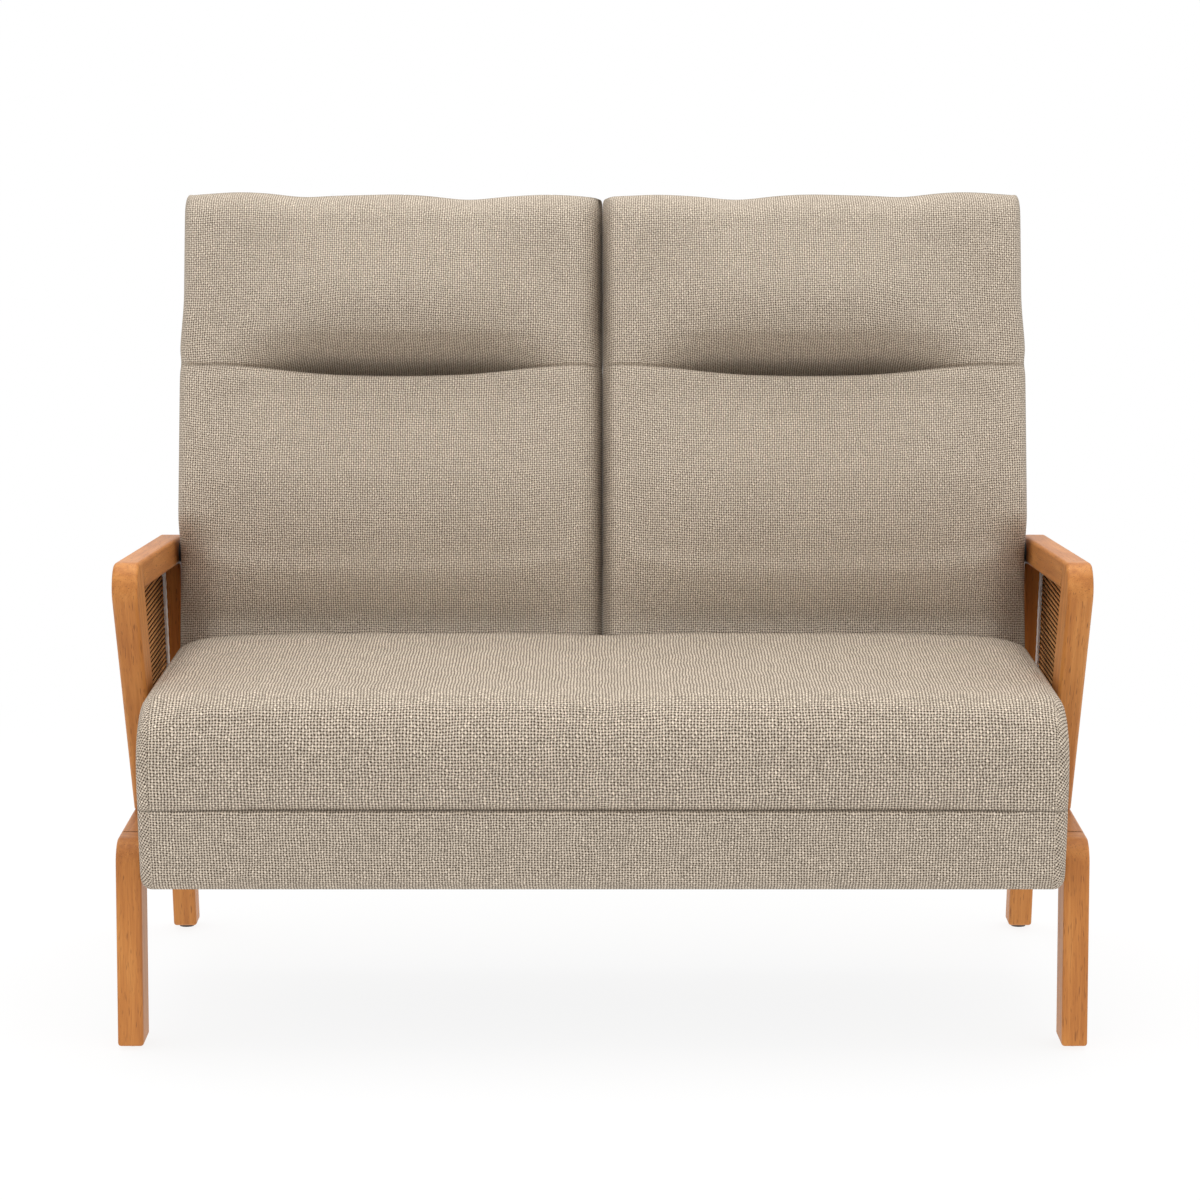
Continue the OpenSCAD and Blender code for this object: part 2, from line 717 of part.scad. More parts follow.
rail_vs = [0, tuck_v - back_rail_w / 2, frame_l - back_rail_w];
module back_rails(side) {
    color(softwood) difference() {
        on_deck(side, fit) in_back(side) for (v = rail_vs)
            translate([stile_x0 + stile_w, stile_y, v == 0 ? -back_rail_w : v])
                cube([stile_x1 - stile_x0 - stile_w, stile_t, v == 0 ? 2 * back_rail_w : back_rail_w]);
        foot_bolt_rods(bolt_d + 2 * slip, deck_z - overrun, deck_z + foot_bolt_grip + fit);
    }
}

module back_straps(side) {
    color("saddlebrown") in_back(side) for (i = [0:back_strap_count - 1])
        translate([stile_x0, stile_y - strap_t,
            back_rail_w + (i + 0.5) * (frame_l - back_rail_w) / back_strap_count - back_strap_w / 2])
            cube([back_w - 2 * stile_x0, strap_t, back_strap_w]);
}

foam_back_y = stile_y - strap_t - fit;
foam_front_y = cover_t + fit - back_t;
module back_foam(side) {
    color("khaki") on_deck(side, fit) in_back(side)
        translate([stile_x0, foam_front_y, -back_rail_w])
            cube([back_w - 2 * stile_x0, foam_back_y - foam_front_y, frame_l + back_rail_w]);
}

pad_v0 = tuck_v + pad_margin;
pad_v1 = back_l - top_front_r - cover_t;
module pad_space(side, g) {
    in_back(side) translate([stile_x0 + pad_margin - g, cover_t - back_t - head_pad_t - g + fit, pad_v0 - g])
        cube([back_w - 2 * (stile_x0 + pad_margin - g), head_pad_t + g, pad_v1 - pad_v0 + 2 * g]);
}

module head_pad(side) {
    color("khaki") pad_space(side, 0);
}

// Forward bulge of a back unit at share s across and v up the lean
function swell(s, v) =
    let (
        across = 1 - pow(abs(2 * s - 1), 4),
        down = v <= seat_v || v >= tuck_v ? 0 : (v - seat_v) / (tuck_v - seat_v),
        low = pow(sin(180 * pow(down, 0.8)), 0.8),
        up = v <= tuck_v ? 0 : (v - tuck_v) / (back_l - tuck_v),
        high = up <= 0 ? 0 : pow(sin(180 * min(1, pow(up, 0.42))), 0.6)
    )
    lumbar_bulge * low * across + pillow_bulge * high * pow(across, 1.5);

// The tuck is a groove, deepest in the middle of the unit
function tuck(s, v) =
    tuck_d * (0.35 + 0.65 * (1 - pow(abs(2 * s - 1), 3))) * exp(-pow((v - tuck_v) / tuck_d, 2));

function bulge(s, v) = swell(s, v) - tuck(s, v);

function drawn_in(v) =
    waist * exp(-pow((v - tuck_v) / (4 * waist), 2)) +
    (v > tuck_v ? shoulder * pow((v - tuck_v) / (back_l - tuck_v), 5) : 0);

// The back's top rolls over: depth lost in front and behind near the top
function roll(v, r) = v < back_l - r ? 0 : r - sqrt(max(0, r * r - pow(v - back_l + r, 2)));

// The top rises and falls along a unit
ripple_pitch_share = 0.4;
ripple_start_share = 0.1;
function ripple_at(x) = ripple * cos(360 * (x / back_w - ripple_start_share) / ripple_pitch_share);

// One ring of a back unit at height v: a side, the front, the other side, the rear
across_shares = [0.07, 0.15, 0.26, 0.38, 0.5, 0.62, 0.74, 0.85, 0.93];
function back_ring(v) =
    let (
        d = drawn_in(v),
        far = back_w - d,
        rear = roll(v, top_rear_r),
        face = back_t - roll(v, top_front_r) * (1 - top_rear_r / back_t),
        full = 1 - roll(v, top_front_r) / top_front_r,
        q = side_r * (1 - cos(45)),
        h = side_r / 2,
        sheer = tan(back_lean) * (1 - v / back_l),
        wave = max(0, (v - back_l) / (2 * top_front_r) + 1),
        xs = [for (s = across_shares) d + side_r + s * (far - d - 2 * side_r)],
        last = len(xs) - 1,
        outline = concat(
            [[d, face / 2], [d, face - side_r], [d + q, face - q]],
            [for (i = [0:last]) [xs[i], face + full * bulge(across_shares[i], v)]],
            [[far - q, face - q], [far, face - side_r], [far, face / 2], [far, rear + h], [far - h, rear]],
            [for (i = [last:-1:0]) [xs[i], rear]],
            [[d + h, rear], [d, rear + h]]
        )
    )
    [for (p = outline) [p.x, -p.y, v - p.y * sheer + wave * ripple_at(p.x)]];

// Heights of the rings, closest round the tuck and over the top
tuck_shares = [-2.2, -1.1, -0.5, 0, 0.5, 1.1, 2, 3.4];
low_steps = 6;
high_steps = 4;
roll_steps = 5;
roll_turn = 84;
tuck_vs = [for (k = tuck_shares) tuck_v + k * tuck_d];
tuck_top_v = tuck_vs[len(tuck_vs) - 1];
roll_v = back_l - top_front_r;
back_vs = concat(
    [0, seat_v / 2, seat_v],
    [for (i = [1:low_steps - 1]) seat_v + (tuck_vs[0] - seat_v) * i / low_steps],
    tuck_vs,
    [for (i = [1:high_steps]) tuck_top_v + (roll_v - tuck_top_v) * i / high_steps],
    [for (i = [1:roll_steps]) roll_v + top_front_r * sin(roll_turn * i / roll_steps)]
);

module back_form() {
    skin([for (v = back_vs) back_ring(v)]);
}

module back_cavity(side, g) {
    in_back(side) translate([g, g - back_t, -back_rail_w - overrun])
        cube([back_w - 2 * g, back_t - g - rear_skin_t, back_l - g + back_rail_w + overrun]);
}

module back_cover(side) {
    color(cloth) difference() {
        in_back(side) back_form();
        back_cavity(side, cover_t);
        pad_space(side, fit);
        arm_bolt_rods(side, inner_x - arm_bolt_grip, arm_bolt_grip, bolt_d + 2 * bolt_slack);
        join_rods(side, bolt_d + 2 * bolt_slack);
    }
}

module back_foot_bolts() {
    color(steel) at_foot_bolts() bolt(deck_z + foot_bolt_grip - rail_z0 - head_h - washer_t);
}

// Bolts through both inner stiles, with a nut at the far end
module back_joining_bolts() {
    color(steel) at_joining_bolts() bolt(2 * join_grip + washer_t + head_h);
}

module joining_nuts() {
    color(steel) at_joining_bolts() translate([0, 0, 2 * join_grip + washer_t]) difference() {
        cylinder(h = head_h, d = head_af / cos(30), $fn = 6);
        translate([0, 0, -overrun]) cylinder(h = head_h + 2 * overrun, d = bolt_d + 2 * slip);
    }
}

module arm_bolts() {
    color(steel) at_arm_bolts() bolt(arm_bolt_grip + insert_l);
}

module washers() {
    color(steel) {
        at_seat_bolts() washer();
        at_foot_bolts() washer();
        at_arm_bolts() washer();
        at_joining_bolts() washer();
        at_joining_bolts() translate([0, 0, 2 * join_grip + washer_t]) washer();
    }
}

arm_rail(-1);  // arm_rail_left
arm_rail(1);  // arm_rail_right
arm_post(-1);  // arm_post_left
arm_post(1);  // arm_post_right
side_rail(-1);  // side_rail_left
side_rail(1);  // side_rail_right
front_leg(-1);  // front_leg_left
front_leg(1);  // front_leg_right
rear_leg(-1);  // rear_leg_left
rear_leg(1);  // rear_leg_right
woven_panel(-1);  // woven_panel_left
woven_panel(1);  // woven_panel_right
panel_beads(-1);  // panel_beads_left
panel_beads(1);  // panel_beads_right
frame_dowels(-1);  // frame_dowels_left
frame_dowels(1);  // frame_dowels_right
floor_glides();
seat_front_rail();
seat_back_rail();
seat_side_rail(-1);  // seat_side_rail_left
seat_side_rail(1);  // seat_side_rail_right
seat_centre_rail();
seat_corner_blocks();
seat_straps();
seat_foam();
seat_cover();
seat_dust_cover();
seat_bolts();
threaded_inserts();
frame_spacers();
back_stiles(-1);  // back_stiles_left
back_stiles(1);  // back_stiles_right
back_rails(-1);  // back_rails_left
back_rails(1);  // back_rails_right
back_straps(-1);  // back_straps_left
back_straps(1);  // back_straps_right
back_foam(-1);  // back_foam_left
back_foam(1);  // back_foam_right
head_pad(-1);  // head_pad_left
head_pad(1);  // head_pad_right
back_cover(-1);  // back_cover_left
back_cover(1);  // back_cover_right
back_foot_bolts();
back_joining_bolts();
joining_nuts();
arm_bolts();
washers();
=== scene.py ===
import json
from functools import partialmethod
from math import acos, atan2, cos, exp, pi, radians, sin, sqrt, tan

import bmesh
import bpy
import numpy as np
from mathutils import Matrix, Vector
from numpy.linalg import norm


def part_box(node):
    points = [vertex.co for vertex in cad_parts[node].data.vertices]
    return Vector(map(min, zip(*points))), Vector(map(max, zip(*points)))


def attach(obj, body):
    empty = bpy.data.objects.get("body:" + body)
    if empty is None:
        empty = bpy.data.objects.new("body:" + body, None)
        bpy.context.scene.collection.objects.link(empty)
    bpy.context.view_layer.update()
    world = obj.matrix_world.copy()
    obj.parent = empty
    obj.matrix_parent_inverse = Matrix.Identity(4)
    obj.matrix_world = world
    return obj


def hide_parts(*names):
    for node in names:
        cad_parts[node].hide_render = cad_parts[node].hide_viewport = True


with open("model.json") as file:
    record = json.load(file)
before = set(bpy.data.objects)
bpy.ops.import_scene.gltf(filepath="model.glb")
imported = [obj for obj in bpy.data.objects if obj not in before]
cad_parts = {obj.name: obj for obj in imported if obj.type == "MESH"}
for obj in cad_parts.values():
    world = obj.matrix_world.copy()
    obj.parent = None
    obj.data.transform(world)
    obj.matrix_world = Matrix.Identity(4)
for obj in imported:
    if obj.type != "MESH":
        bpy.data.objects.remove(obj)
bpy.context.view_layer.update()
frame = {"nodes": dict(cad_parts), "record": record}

MM = 0.001
scene = bpy.context.scene

# Sizes in millimetres, the same as the CAD's. Depths count from the front leg's face.
FRONT_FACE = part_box("front_leg_right")[0].y / MM
ARM_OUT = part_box("arm_rail_right")[1].x / MM
TIMBER_T = 32
ARM_IN = ARM_OUT - TIMBER_T
LEG_D = 64
LEG_SPREAD = 657
REAR_LEG_D = 48
RAKE = tan(radians(16.6))
RAIL_TOP = 263
RAIL_H = 60
ARM_TOP = 608
ARM_H = 37
ARM_FALL = radians(3.7)
ARM_LOW = ARM_TOP - ARM_H / cos(ARM_FALL)
POST_FOOT = 204
POST_FOOT_D = 60
POST_HEAD_D = 86
POST_SLOPE = tan(radians(34.3))
GLIDE_H = 5
NOSE_R = 30
REAR_FOOT = LEG_SPREAD + REAR_LEG_D
PANEL_INSET = 3
PANEL_T = 4
BEAD_D = 5
FIT = 0.3
SEAT_HALF = ARM_IN - 4
SEAT_TOP = 447
SEAT_LOW = 213
SEAT_NOSE = -90
DECK = 300.3
LEAN = radians(12)
BACK_T = 115
BACK_W = ARM_IN - 6.5
BACK_GAP = 3
BACK_TOP = 1029
PILLOW_H = 221
TOP_R = 34
FACE_Y = 385
FOOT_Y = FACE_Y - (SEAT_TOP - DECK) * tan(LEAN)
REAR_Y = FOOT_Y + BACK_T / cos(LEAN)
BACK_L = (BACK_TOP - DECK - (BACK_T - TOP_R) * sin(LEAN)) / cos(LEAN)
TUCK_V = (BACK_TOP - PILLOW_H - DECK) / cos(LEAN) - BACK_T * tan(LEAN)
SEAT_V = (SEAT_TOP - DECK) / cos(LEAN)


# Shader maths
class Value:
    """A socket of a material that takes part in plain arithmetic."""

    def __init__(self, finish, socket):
        self.finish, self.socket = finish, socket

    def maths(self, operation, *others):
        return self.finish.node("ShaderNodeMath", {"operation": operation}, [self, *others])

    __add__ = __radd__ = partialmethod(maths, "ADD")
    __sub__ = partialmethod(maths, "SUBTRACT")
    __mul__ = __rmul__ = partialmethod(maths, "MULTIPLY")
    __truediv__ = partialmethod(maths, "DIVIDE")
    __pow__ = partialmethod(maths, "POWER")
    __abs__ = partialmethod(maths, "ABSOLUTE")
    cos = partialmethod(maths, "COSINE")
    floor = partialmethod(maths, "FLOOR")
    fract = partialmethod(maths, "FRACT")
    most = partialmethod(maths, "MAXIMUM")
    over = partialmethod(maths, "GREATER_THAN")

    def __rsub__(self, other):
        return self.finish.node("ShaderNodeMath", {"operation": "SUBTRACT"}, [other, self])

    def span(self, low, high):
        """This value's place between low and high, eased, from 0 to 1."""
        return self.finish.node("ShaderNodeMapRange", {"interpolation_type": "SMOOTHSTEP"}, [self, low, high])


def rgba(colour):
    """A colour written as three numbers gets its fourth. A Value stays as it is."""
    return (*colour, 1) if isinstance(colour, tuple) else colour


class Finish:
    """The nodes that give a surface its look, or the world its light."""

    def __init__(self, name, owner=None):
        self.owner = owner or bpy.data.materials.new(name)
        self.owner.use_nodes = True
        self.tree = self.owner.node_tree
        self.tree.nodes.clear()

    def node(self, kind, settings, inputs, output=0):
        made = self.tree.nodes.new(kind)
        for key, value in settings.items():
            if key == "stops":
                for i, (place, colour) in enumerate(value):
                    stop = made.color_ramp.elements[i] if i < 2 else made.color_ramp.elements.new(place)
                    stop.position, stop.color = place, rgba(colour)
            else:
                setattr(made, key, value)
        pairs = inputs.items() if isinstance(inputs, dict) else enumerate(inputs)
        for key, value in pairs:
            if isinstance(value, Value):
                self.tree.links.new(value.socket, made.inputs[key])
            else:
                made.inputs[key].default_value = value
        return Value(self, made.outputs[output] if len(made.outputs) else None)

    def mix(self, share, first, second):
        """A colour between two others."""
        return self.node("ShaderNodeMix", {"data_type": "RGBA"},
                         {0: share, 6: rgba(first), 7: rgba(second)}, 2)

    def tone(self, colour, share):
        """A colour made lighter or darker by a value."""
        grey = self.node("ShaderNodeCombineColor", {}, [share, share, share])
        return self.node("ShaderNodeMix", {"data_type": "RGBA", "blend_type": "MULTIPLY"},
                         {0: 1.0, 6: rgba(colour), 7: grey}, 2)

    def spot(self):
        """The place on the piece, in its own axes and in metres."""
        return self.node("ShaderNodeTexCoord", {}, {}, "Object")

    def cloth_place(self):
        """The place on the cloth as it was cut, in metres."""
        return self.node("ShaderNodeUVMap", {"uv_map": "cloth"}, {})

    def part(self, vector, i):
        return self.node("ShaderNodeSeparateXYZ", {}, [vector], i)

    def vector(self, *parts):
        return self.node("ShaderNodeCombineXYZ", {}, parts)

    def noise(self, vector, scale, detail=2.0, rough=0.5):
        """Noise over a vector, which a scale of three numbers stretches."""
        if isinstance(scale, tuple):
            vector = self.node("ShaderNodeVectorMath", {"operation": "MULTIPLY"}, [vector, scale])
            scale = 1.0
        return self.node("ShaderNodeTexNoise", {}, {
            "Vector": vector, "Scale": scale, "Detail": detail, "Roughness": rough})

    def bump(self, height, depth, strength, under=None):
        inputs = {"Height": height, "Distance": depth, "Strength": strength}
        if under:
            inputs["Normal"] = under
        return self.node("ShaderNodeBump", {}, inputs)

    def shows_backdrop(self):
        """1 for the camera's, the glossy and all reflected rays, which see the white backdrop, else 0.

        Reflected rays include the bounces from cloth and timber, so the backdrop also lights the pieces.
        """
        rays = [self.node("ShaderNodeLightPath", {}, {}, ray)
                for ray in ("Is Camera Ray", "Is Glossy Ray", "Is Reflection Ray")]
        return rays[0].most(rays[1]).most(rays[2])

    def done(self, colour, roughness, normal, **plain):
        inputs = {"Base Color": rgba(colour), "Roughness": roughness, "Normal": normal,
                  **{k.replace("_", " "): v for k, v in plain.items()}}
        shader = self.node("ShaderNodeBsdfPrincipled", {}, inputs)
        self.node("ShaderNodeOutputMaterial", {}, {"Surface": shader})
        return self.owner


# Finishes
# The weave: the pitch of its yarns across and up, in metres, and its colours
YARN_WIDE = 0.00355
YARN_HIGH = 0.0034
LYING_YARN = (0.562, 0.470, 0.371)
UPRIGHT_YARN = (0.672, 0.578, 0.470)
# The dark brown of the gaps between the yarns is painted shade in the weave's hollows.
GAP_SHADE_BROWN = (0.070, 0.047, 0.029)


def cover_cloth(name, lively, opened):
    """Chunky plain weave: pale yarns that cross over and under, with dark brown painted shade where they part
    at the corners.
    lively says how much the yarns differ in tone, and opened how far the gaps of painted shade show."""
    f = Finish(name)
    cloth = f.cloth_place()
    wander = (f.noise(cloth, 24.0, 1.0) - 0.5) * 0.0042 + (f.noise(cloth, 150.0, 1.0) - 0.5) * 0.0020
    across = (f.part(cloth, 0) + wander) / YARN_WIDE
    up = (f.part(cloth, 1) - wander) / YARN_HIGH
    column, line = across.floor(), up.floor()
    a, b = across.fract() - 0.5, up.fract() - 0.5
    side = ((column + line) * 0.5).fract() * 4.0 - 1.0
    round_a = (1.0 - a * a * 4.7).most(0.0) ** 0.5
    round_b = (1.0 - b * b * 4.7).most(0.0) ** 0.5
    upright = side * (b * pi).cos() * 0.42 + round_a * 0.55
    level = round_b * 0.55 - side * (a * pi).cos() * 0.42
    height = upright.most(level)
    is_upright = upright.over(level)
    knot = f.node("ShaderNodeTexWhiteNoise", {"noise_dimensions": "2D"}, [f.vector(column, line, 0.0)])
    slub_up = f.noise(f.vector(column * 5.3, up * 0.23, 0.0), 1.0, 1.0)
    slub_across = f.noise(f.vector(across * 0.23, line * 5.3, 4.0), 1.0, 1.0)
    slub = is_upright * slub_up + (1.0 - is_upright) * slub_across
    fibre = f.noise(cloth, 2600.0, 2.0)
    mottle = f.noise(cloth, 11.0, 3.0)
    uneven = (knot * 0.18 + slub * 0.80 + fibre * 0.34 - 0.66) * lively
    # height * 0.16 makes each yarn darker towards its sides: painted shade that follows its bump.
    tone = uneven + mottle * 0.08 + height * 0.16 + (0.80 + opened * 0.07)
    pale = f.tone(f.mix(is_upright, LYING_YARN, UPRIGHT_YARN), tone)
    # Where the yarns part at their corners, the cloth takes the dark brown of painted shade.
    lying = abs(b) * 1.40 + abs(a) * 0.65
    standing = abs(a) * 1.50 + abs(b) * 0.60
    ragged = (f.noise(cloth, 390.0, 1.0) - 0.5) * 0.42
    gap = (lying + is_upright * (standing - lying) + ragged).span(0.50 - opened * 0.08, 0.84 - opened * 0.08)
    normal = f.bump(fibre, 0.0002, 0.5, f.bump(height, 0.0012, 0.9))
    return f.done(f.mix(gap, pale, GAP_SHADE_BROWN), 0.92, normal,
                  Specular_IOR_Level=0.14, Sheen_Weight=0.04, Sheen_Roughness=0.5)


def oak():
    """Oiled timber: fine grain along each member, dark flecks and a satin skin."""
    f = Finish("oak_timber")
    grain = f.node("ShaderNodeAttribute", {"attribute_name": "grain"}, {}, "Vector")
    wander = f.noise(grain, (2.2, 14.0, 14.0))
    streak = f.noise(grain, (7.0, 210.0, 210.0), 3.0, 0.6)
    pores = f.noise(grain, (38.0, 1500.0, 1500.0))
    rings = ((f.part(grain, 1) * 300.0 + wander * 22.0).cos() + 1.0) * 0.5
    flecks = f.noise(grain, (55.0, 700.0, 700.0), 1.0).span(0.62, 0.72)
    patch = f.noise(grain, (6.0, 12.0, 12.0))
    share = streak * 0.62 + rings * 0.16 + patch * 0.42 - 0.12
    colour = f.node("ShaderNodeValToRGB", {"stops": [
        (0.18, (0.38, 0.124, 0.027)), (0.80, (0.69, 0.303, 0.080)), (0.48, (0.545, 0.206, 0.046))]}, [share])
    colour = f.mix(pores.span(0.50, 0.72) * 0.34, colour, (0.28, 0.088, 0.020))
    colour = f.mix(flecks * 0.62, colour, (0.20, 0.065, 0.018))
    height = streak * 0.4 + pores * 0.6 - flecks * 0.5
    return f.done(colour, pores * 0.12 + 0.40, f.bump(height, 0.00022, 0.6),
                  Specular_IOR_Level=0.28, Coat_Weight=0.04, Coat_Roughness=0.35)


def cord_finish(name, colour, twist):
    """Twisted cord: strands run round it at a slant. twist is their spacing along it, in metres."""
    f = Finish(name)
    along = f.cloth_place()
    u, v = (f.part(along, i) for i in (0, 1))
    strand = ((u * (2 * pi / twist) + v * (4 * pi)).cos() + 1.0) * 0.5
    shade = f.noise(f.vector(u * 60.0, v.floor() * 3.7, 0.0), 1.0)
    worn = f.noise(along, 900.0)
    # strand darkens the grooves between the twisted strands: painted shade, alongside the bump.
    tone = strand * 0.55 + shade * 0.5 + worn * 0.3 + 0.12
    return f.done(f.tone(colour, tone), 0.85, f.bump(strand, 0.0006, 0.9), Specular_IOR_Level=0.06)


def metal_finish(name, colour, rough, metallic):
    f = Finish(name)
    spot = f.spot()
    brushed = f.noise(spot, (900.0, 900.0, 60.0))
    cloudy = f.noise(spot, 55.0)
    return f.done(f.tone(colour, brushed * 0.16 + cloudy * 0.14 + 0.85), brushed * 0.16 + (rough - 0.08),
                  f.bump(brushed, 0.00008, 0.5), Metallic=metallic)


def grained_finish(name, colour, stretch, depth, rough):
    """Softwood, foam, webbing, plastic and rubber of the inside, which only a close look shows."""
    f = Finish(name)
    spot = f.spot()
    fine = f.noise(spot, stretch, 4.0, 0.6)
    wide = f.noise(spot, 22.0)
    return f.done(f.tone(colour, fine * 0.42 + wide * 0.26 + 0.66), fine * 0.16 + (rough - 0.08),
                  f.bump(fine, depth, 0.7))


def lining_finish():
    """Black spunbonded cloth under the seat: fine crossing fibres and pressed dots."""
    f = Finish("dust_cloth")
    spot = f.spot()
    dot_gap = 0.0022
    x, y = ((f.part(spot, i) / dot_gap).fract() - 0.5 for i in (0, 1))
    dots = 1.0 - (x * x + y * y).span(0.02, 0.10)
    fibres = f.noise(spot, (2400.0, 700.0, 700.0), 3.0, 0.7)
    # Broad lighter and darker patches stand for creases: painted shade, not shape.
    crease_shade = f.noise(spot, (7.0, 18.0, 7.0), 3.0)
    tone = fibres * 0.7 + crease_shade * 0.4 - dots * 0.25 + 0.45
    return f.done(f.tone((0.035, 0.033, 0.031), tone), 0.78, f.bump(fibres - dots, 0.0002, 0.6))


# Making meshes
def into_scene(name, data):
    """An object of this name that holds a mesh, lamp or camera."""
    holder = bpy.data.objects.new(name, data)
    scene.collection.objects.link(holder)
    return holder


def piece_of(name, mesh, finish):
    """A smooth piece of this mesh, riding on the settee."""
    mesh.polygons.foreach_set("use_smooth", [True] * len(mesh.polygons))
    mesh.materials.append(finish)
    piece = into_scene(name, mesh)
    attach(piece, "root")
    return piece


def made(name, points, faces, finish, slot, sheets=None):
    """A piece from points in millimetres. sheets gives each face corner its place on the cloth,
    in millimetres."""
    mesh = bpy.data.meshes.new(name)
    mesh.from_pydata([tuple(p) for p in np.asarray(points, float) * MM], [], faces)
    if sheets is not None:
        layer = mesh.uv_layers.new(name="cloth")
        layer.data.foreach_set("uv", (np.asarray(sheets, float) * MM).astype(np.float32).ravel())
    mesh.update()
    return piece_of(name, mesh, finish)


def grain_of(piece, along):
    """Gives the timber its grain's own axes: along the member, across it and through it. Each member's
    grain starts at a place of its own, which comes from its name."""
    mesh = piece.data
    places = np.zeros(len(mesh.vertices) * 3)
    mesh.vertices.foreach_get("co", places)
    places = places.reshape(-1, 3)
    run = np.array([0, cos(along), sin(along)])
    cross = np.array([0, -sin(along), cos(along)])
    start = sum((i + 1) * ord(c) for i, c in enumerate(piece.name)) % 97 * 0.731
    grain = np.stack([places @ run, places @ cross, places[:, 0]], 1) + start
    mesh.attributes.new("grain", "FLOAT_VECTOR", "POINT").data.foreach_set(
        "vector", grain.astype(np.float32).ravel())


def row(depth):
    """A depth from the front leg's face, as a depth in the shared frame."""
    return depth + FRONT_FACE


def run_along(line):
    """How far along a line each of its points lies."""
    return np.concatenate([[0], np.cumsum(norm(np.diff(line, axis=0), axis=1))])


def cell(k, i):
    """The corners of a cell between line k and the next, from point i to the next."""
    return (k, i), (k, i + 1), (k + 1, i + 1), (k + 1, i)


def ring_face(k, i, n):
    """The same cell as a face, where each line is a closed ring of n points."""
    return tuple(line * n + point % n for line, point in cell(k, i))


# Side frames
def meet(depth, height, slope, level):
    """Where the sloping line through (depth, height) meets the arm's falling line at level."""
    fall = tan(ARM_FALL)
    top = (level - fall * (depth + slope * height)) / (1 - fall * slope)
    return (depth - (top - height) * slope, top)


def arm_under(depth):
    return ARM_LOW - depth * tan(ARM_FALL)


def leg_face(height):
    """Depth of the rear leg's front face."""
    return LEG_SPREAD - (height - GLIDE_H) * RAKE


def rounded(a, b, c, r):
    """Points of the arc that rounds the corner b between a and c."""
    a, b, c = map(np.array, (a, b, c))
    u, w = (a - b) / norm(a - b), (c - b) / norm(c - b)
    half = acos(float(u @ w)) / 2
    centre = b + (u + w) / norm(u + w) * r / sin(half)
    first, last = b + u * r / tan(half) - centre, b + w * r / tan(half) - centre
    start = atan2(first[1], first[0])
    turn = atan2(first[0] * last[1] - first[1] * last[0], float(first @ last))
    angles = [start + turn * i / 10 for i in range(11)]
    return [tuple(centre + r * np.array([cos(angle), sin(angle)])) for angle in angles]


def post_lines():
    """The arm post's rear edge: its foot, its head and its slope."""
    head_y = meet(POST_FOOT, RAIL_TOP, POST_SLOPE, ARM_LOW)[0] + POST_HEAD_D
    head = (head_y, arm_under(head_y))
    foot = (POST_FOOT + POST_FOOT_D, RAIL_TOP)
    return foot, head, (foot[0] - head[0]) / (head[1] - foot[1])


# A corner that turns less than this, in radians, is part of a curve
SHARP = 0.4


def timber(name, side, outline, joints, ease, along, finish, node):
    """One member: its outline across the frame's thickness, with eased edges except at its joints."""
    work = bmesh.new()
    inner, outer = ([work.verts.new((side * x * MM, row(d) * MM, z * MM)) for d, z in outline]
                    for x in (ARM_IN, ARM_OUT))
    n = len(outline)
    work.faces.new(inner)
    work.faces.new(outer[::-1])
    for i in range(n):
        j = (i + 1) % n
        work.faces.new([inner[j], inner[i], outer[i], outer[j]])
    work.normal_update()
    bmesh.ops.recalc_face_normals(work, faces=work.faces)
    eased = []
    for i in range(n):
        j = (i + 1) % n
        if i not in joints:
            eased += [work.edges.get((inner[i], inner[j])), work.edges.get((outer[i], outer[j]))]
        here, before, after = (np.array(outline[k]) for k in (i, i - 1, j))
        one, two = here - before, after - here
        bend = abs(atan2(one[0] * two[1] - one[1] * two[0], float(one @ two)))
        if i not in joints and (i - 1) % n not in joints and bend > SHARP:
            eased.append(work.edges.get((inner[i], outer[i])))
    bmesh.ops.bevel(work, geom=eased, offset=ease * MM, segments=4, profile=0.5, affect="EDGES",
                    clamp_overlap=True)
    bmesh.ops.triangulate(work, faces=[f for f in work.faces if len(f.verts) > 4])
    mesh = bpy.data.meshes.new(name)
    work.to_mesh(mesh)
    work.free()
    piece = piece_of(name, mesh, finish)
    level = piece.modifiers.new("even_faces", "WEIGHTED_NORMAL")
    level.weight, level.keep_sharp = 100, False
    grain_of(piece, along)
    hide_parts(node)


def side_frame(side, word, finish):
    foot, head, lean = post_lines()
    post_foot = (POST_FOOT, RAIL_TOP)
    joint_top = meet(*foot, lean, ARM_TOP)
    end_top, end_low = (meet(REAR_FOOT, GLIDE_H, RAKE, level) for level in (ARM_TOP, ARM_LOW))
    leg_head = meet(LEG_SPREAD, GLIDE_H, RAKE, ARM_LOW)
    low = RAIL_TOP - RAIL_H
    post = [foot, post_foot] + rounded(post_foot, meet(*post_foot, POST_SLOPE, ARM_TOP), joint_top, NOSE_R)
    post += [joint_top, head]
    leg = [(LEG_D, RAIL_TOP), (LEG_D, GLIDE_H), (0, GLIDE_H)]
    leg += rounded((0, GLIDE_H), (0, RAIL_TOP), (LEG_D, RAIL_TOP), NOSE_R)
    rail = [(LEG_D, low), (LEG_D, RAIL_TOP), (leg_face(RAIL_TOP), RAIL_TOP), (leg_face(low), low)]
    # Each member's outline, the sides of it that are joints, its easing and the angle of its grain
    members = {
        "arm_post": (post, {0, len(post) - 2}, 5, atan2(1, -POST_SLOPE)),
        "arm_rail": ([head, joint_top, end_top, end_low], {0}, 5, -ARM_FALL),
        "side_rail": (rail, {0, 2}, 4, 0),
        "front_leg": (leg, set(), 4, pi / 2),
        "rear_leg": ([(LEG_SPREAD, GLIDE_H), leg_head, end_low, (REAR_FOOT, GLIDE_H)], {1}, 4,
                     atan2(1, -RAKE)),
    }
    for member, (outline, joints, ease, along) in members.items():
        timber(f"{member}_of_{word}_frame", side, outline, joints, ease, along, finish, f"{member}_{word}")


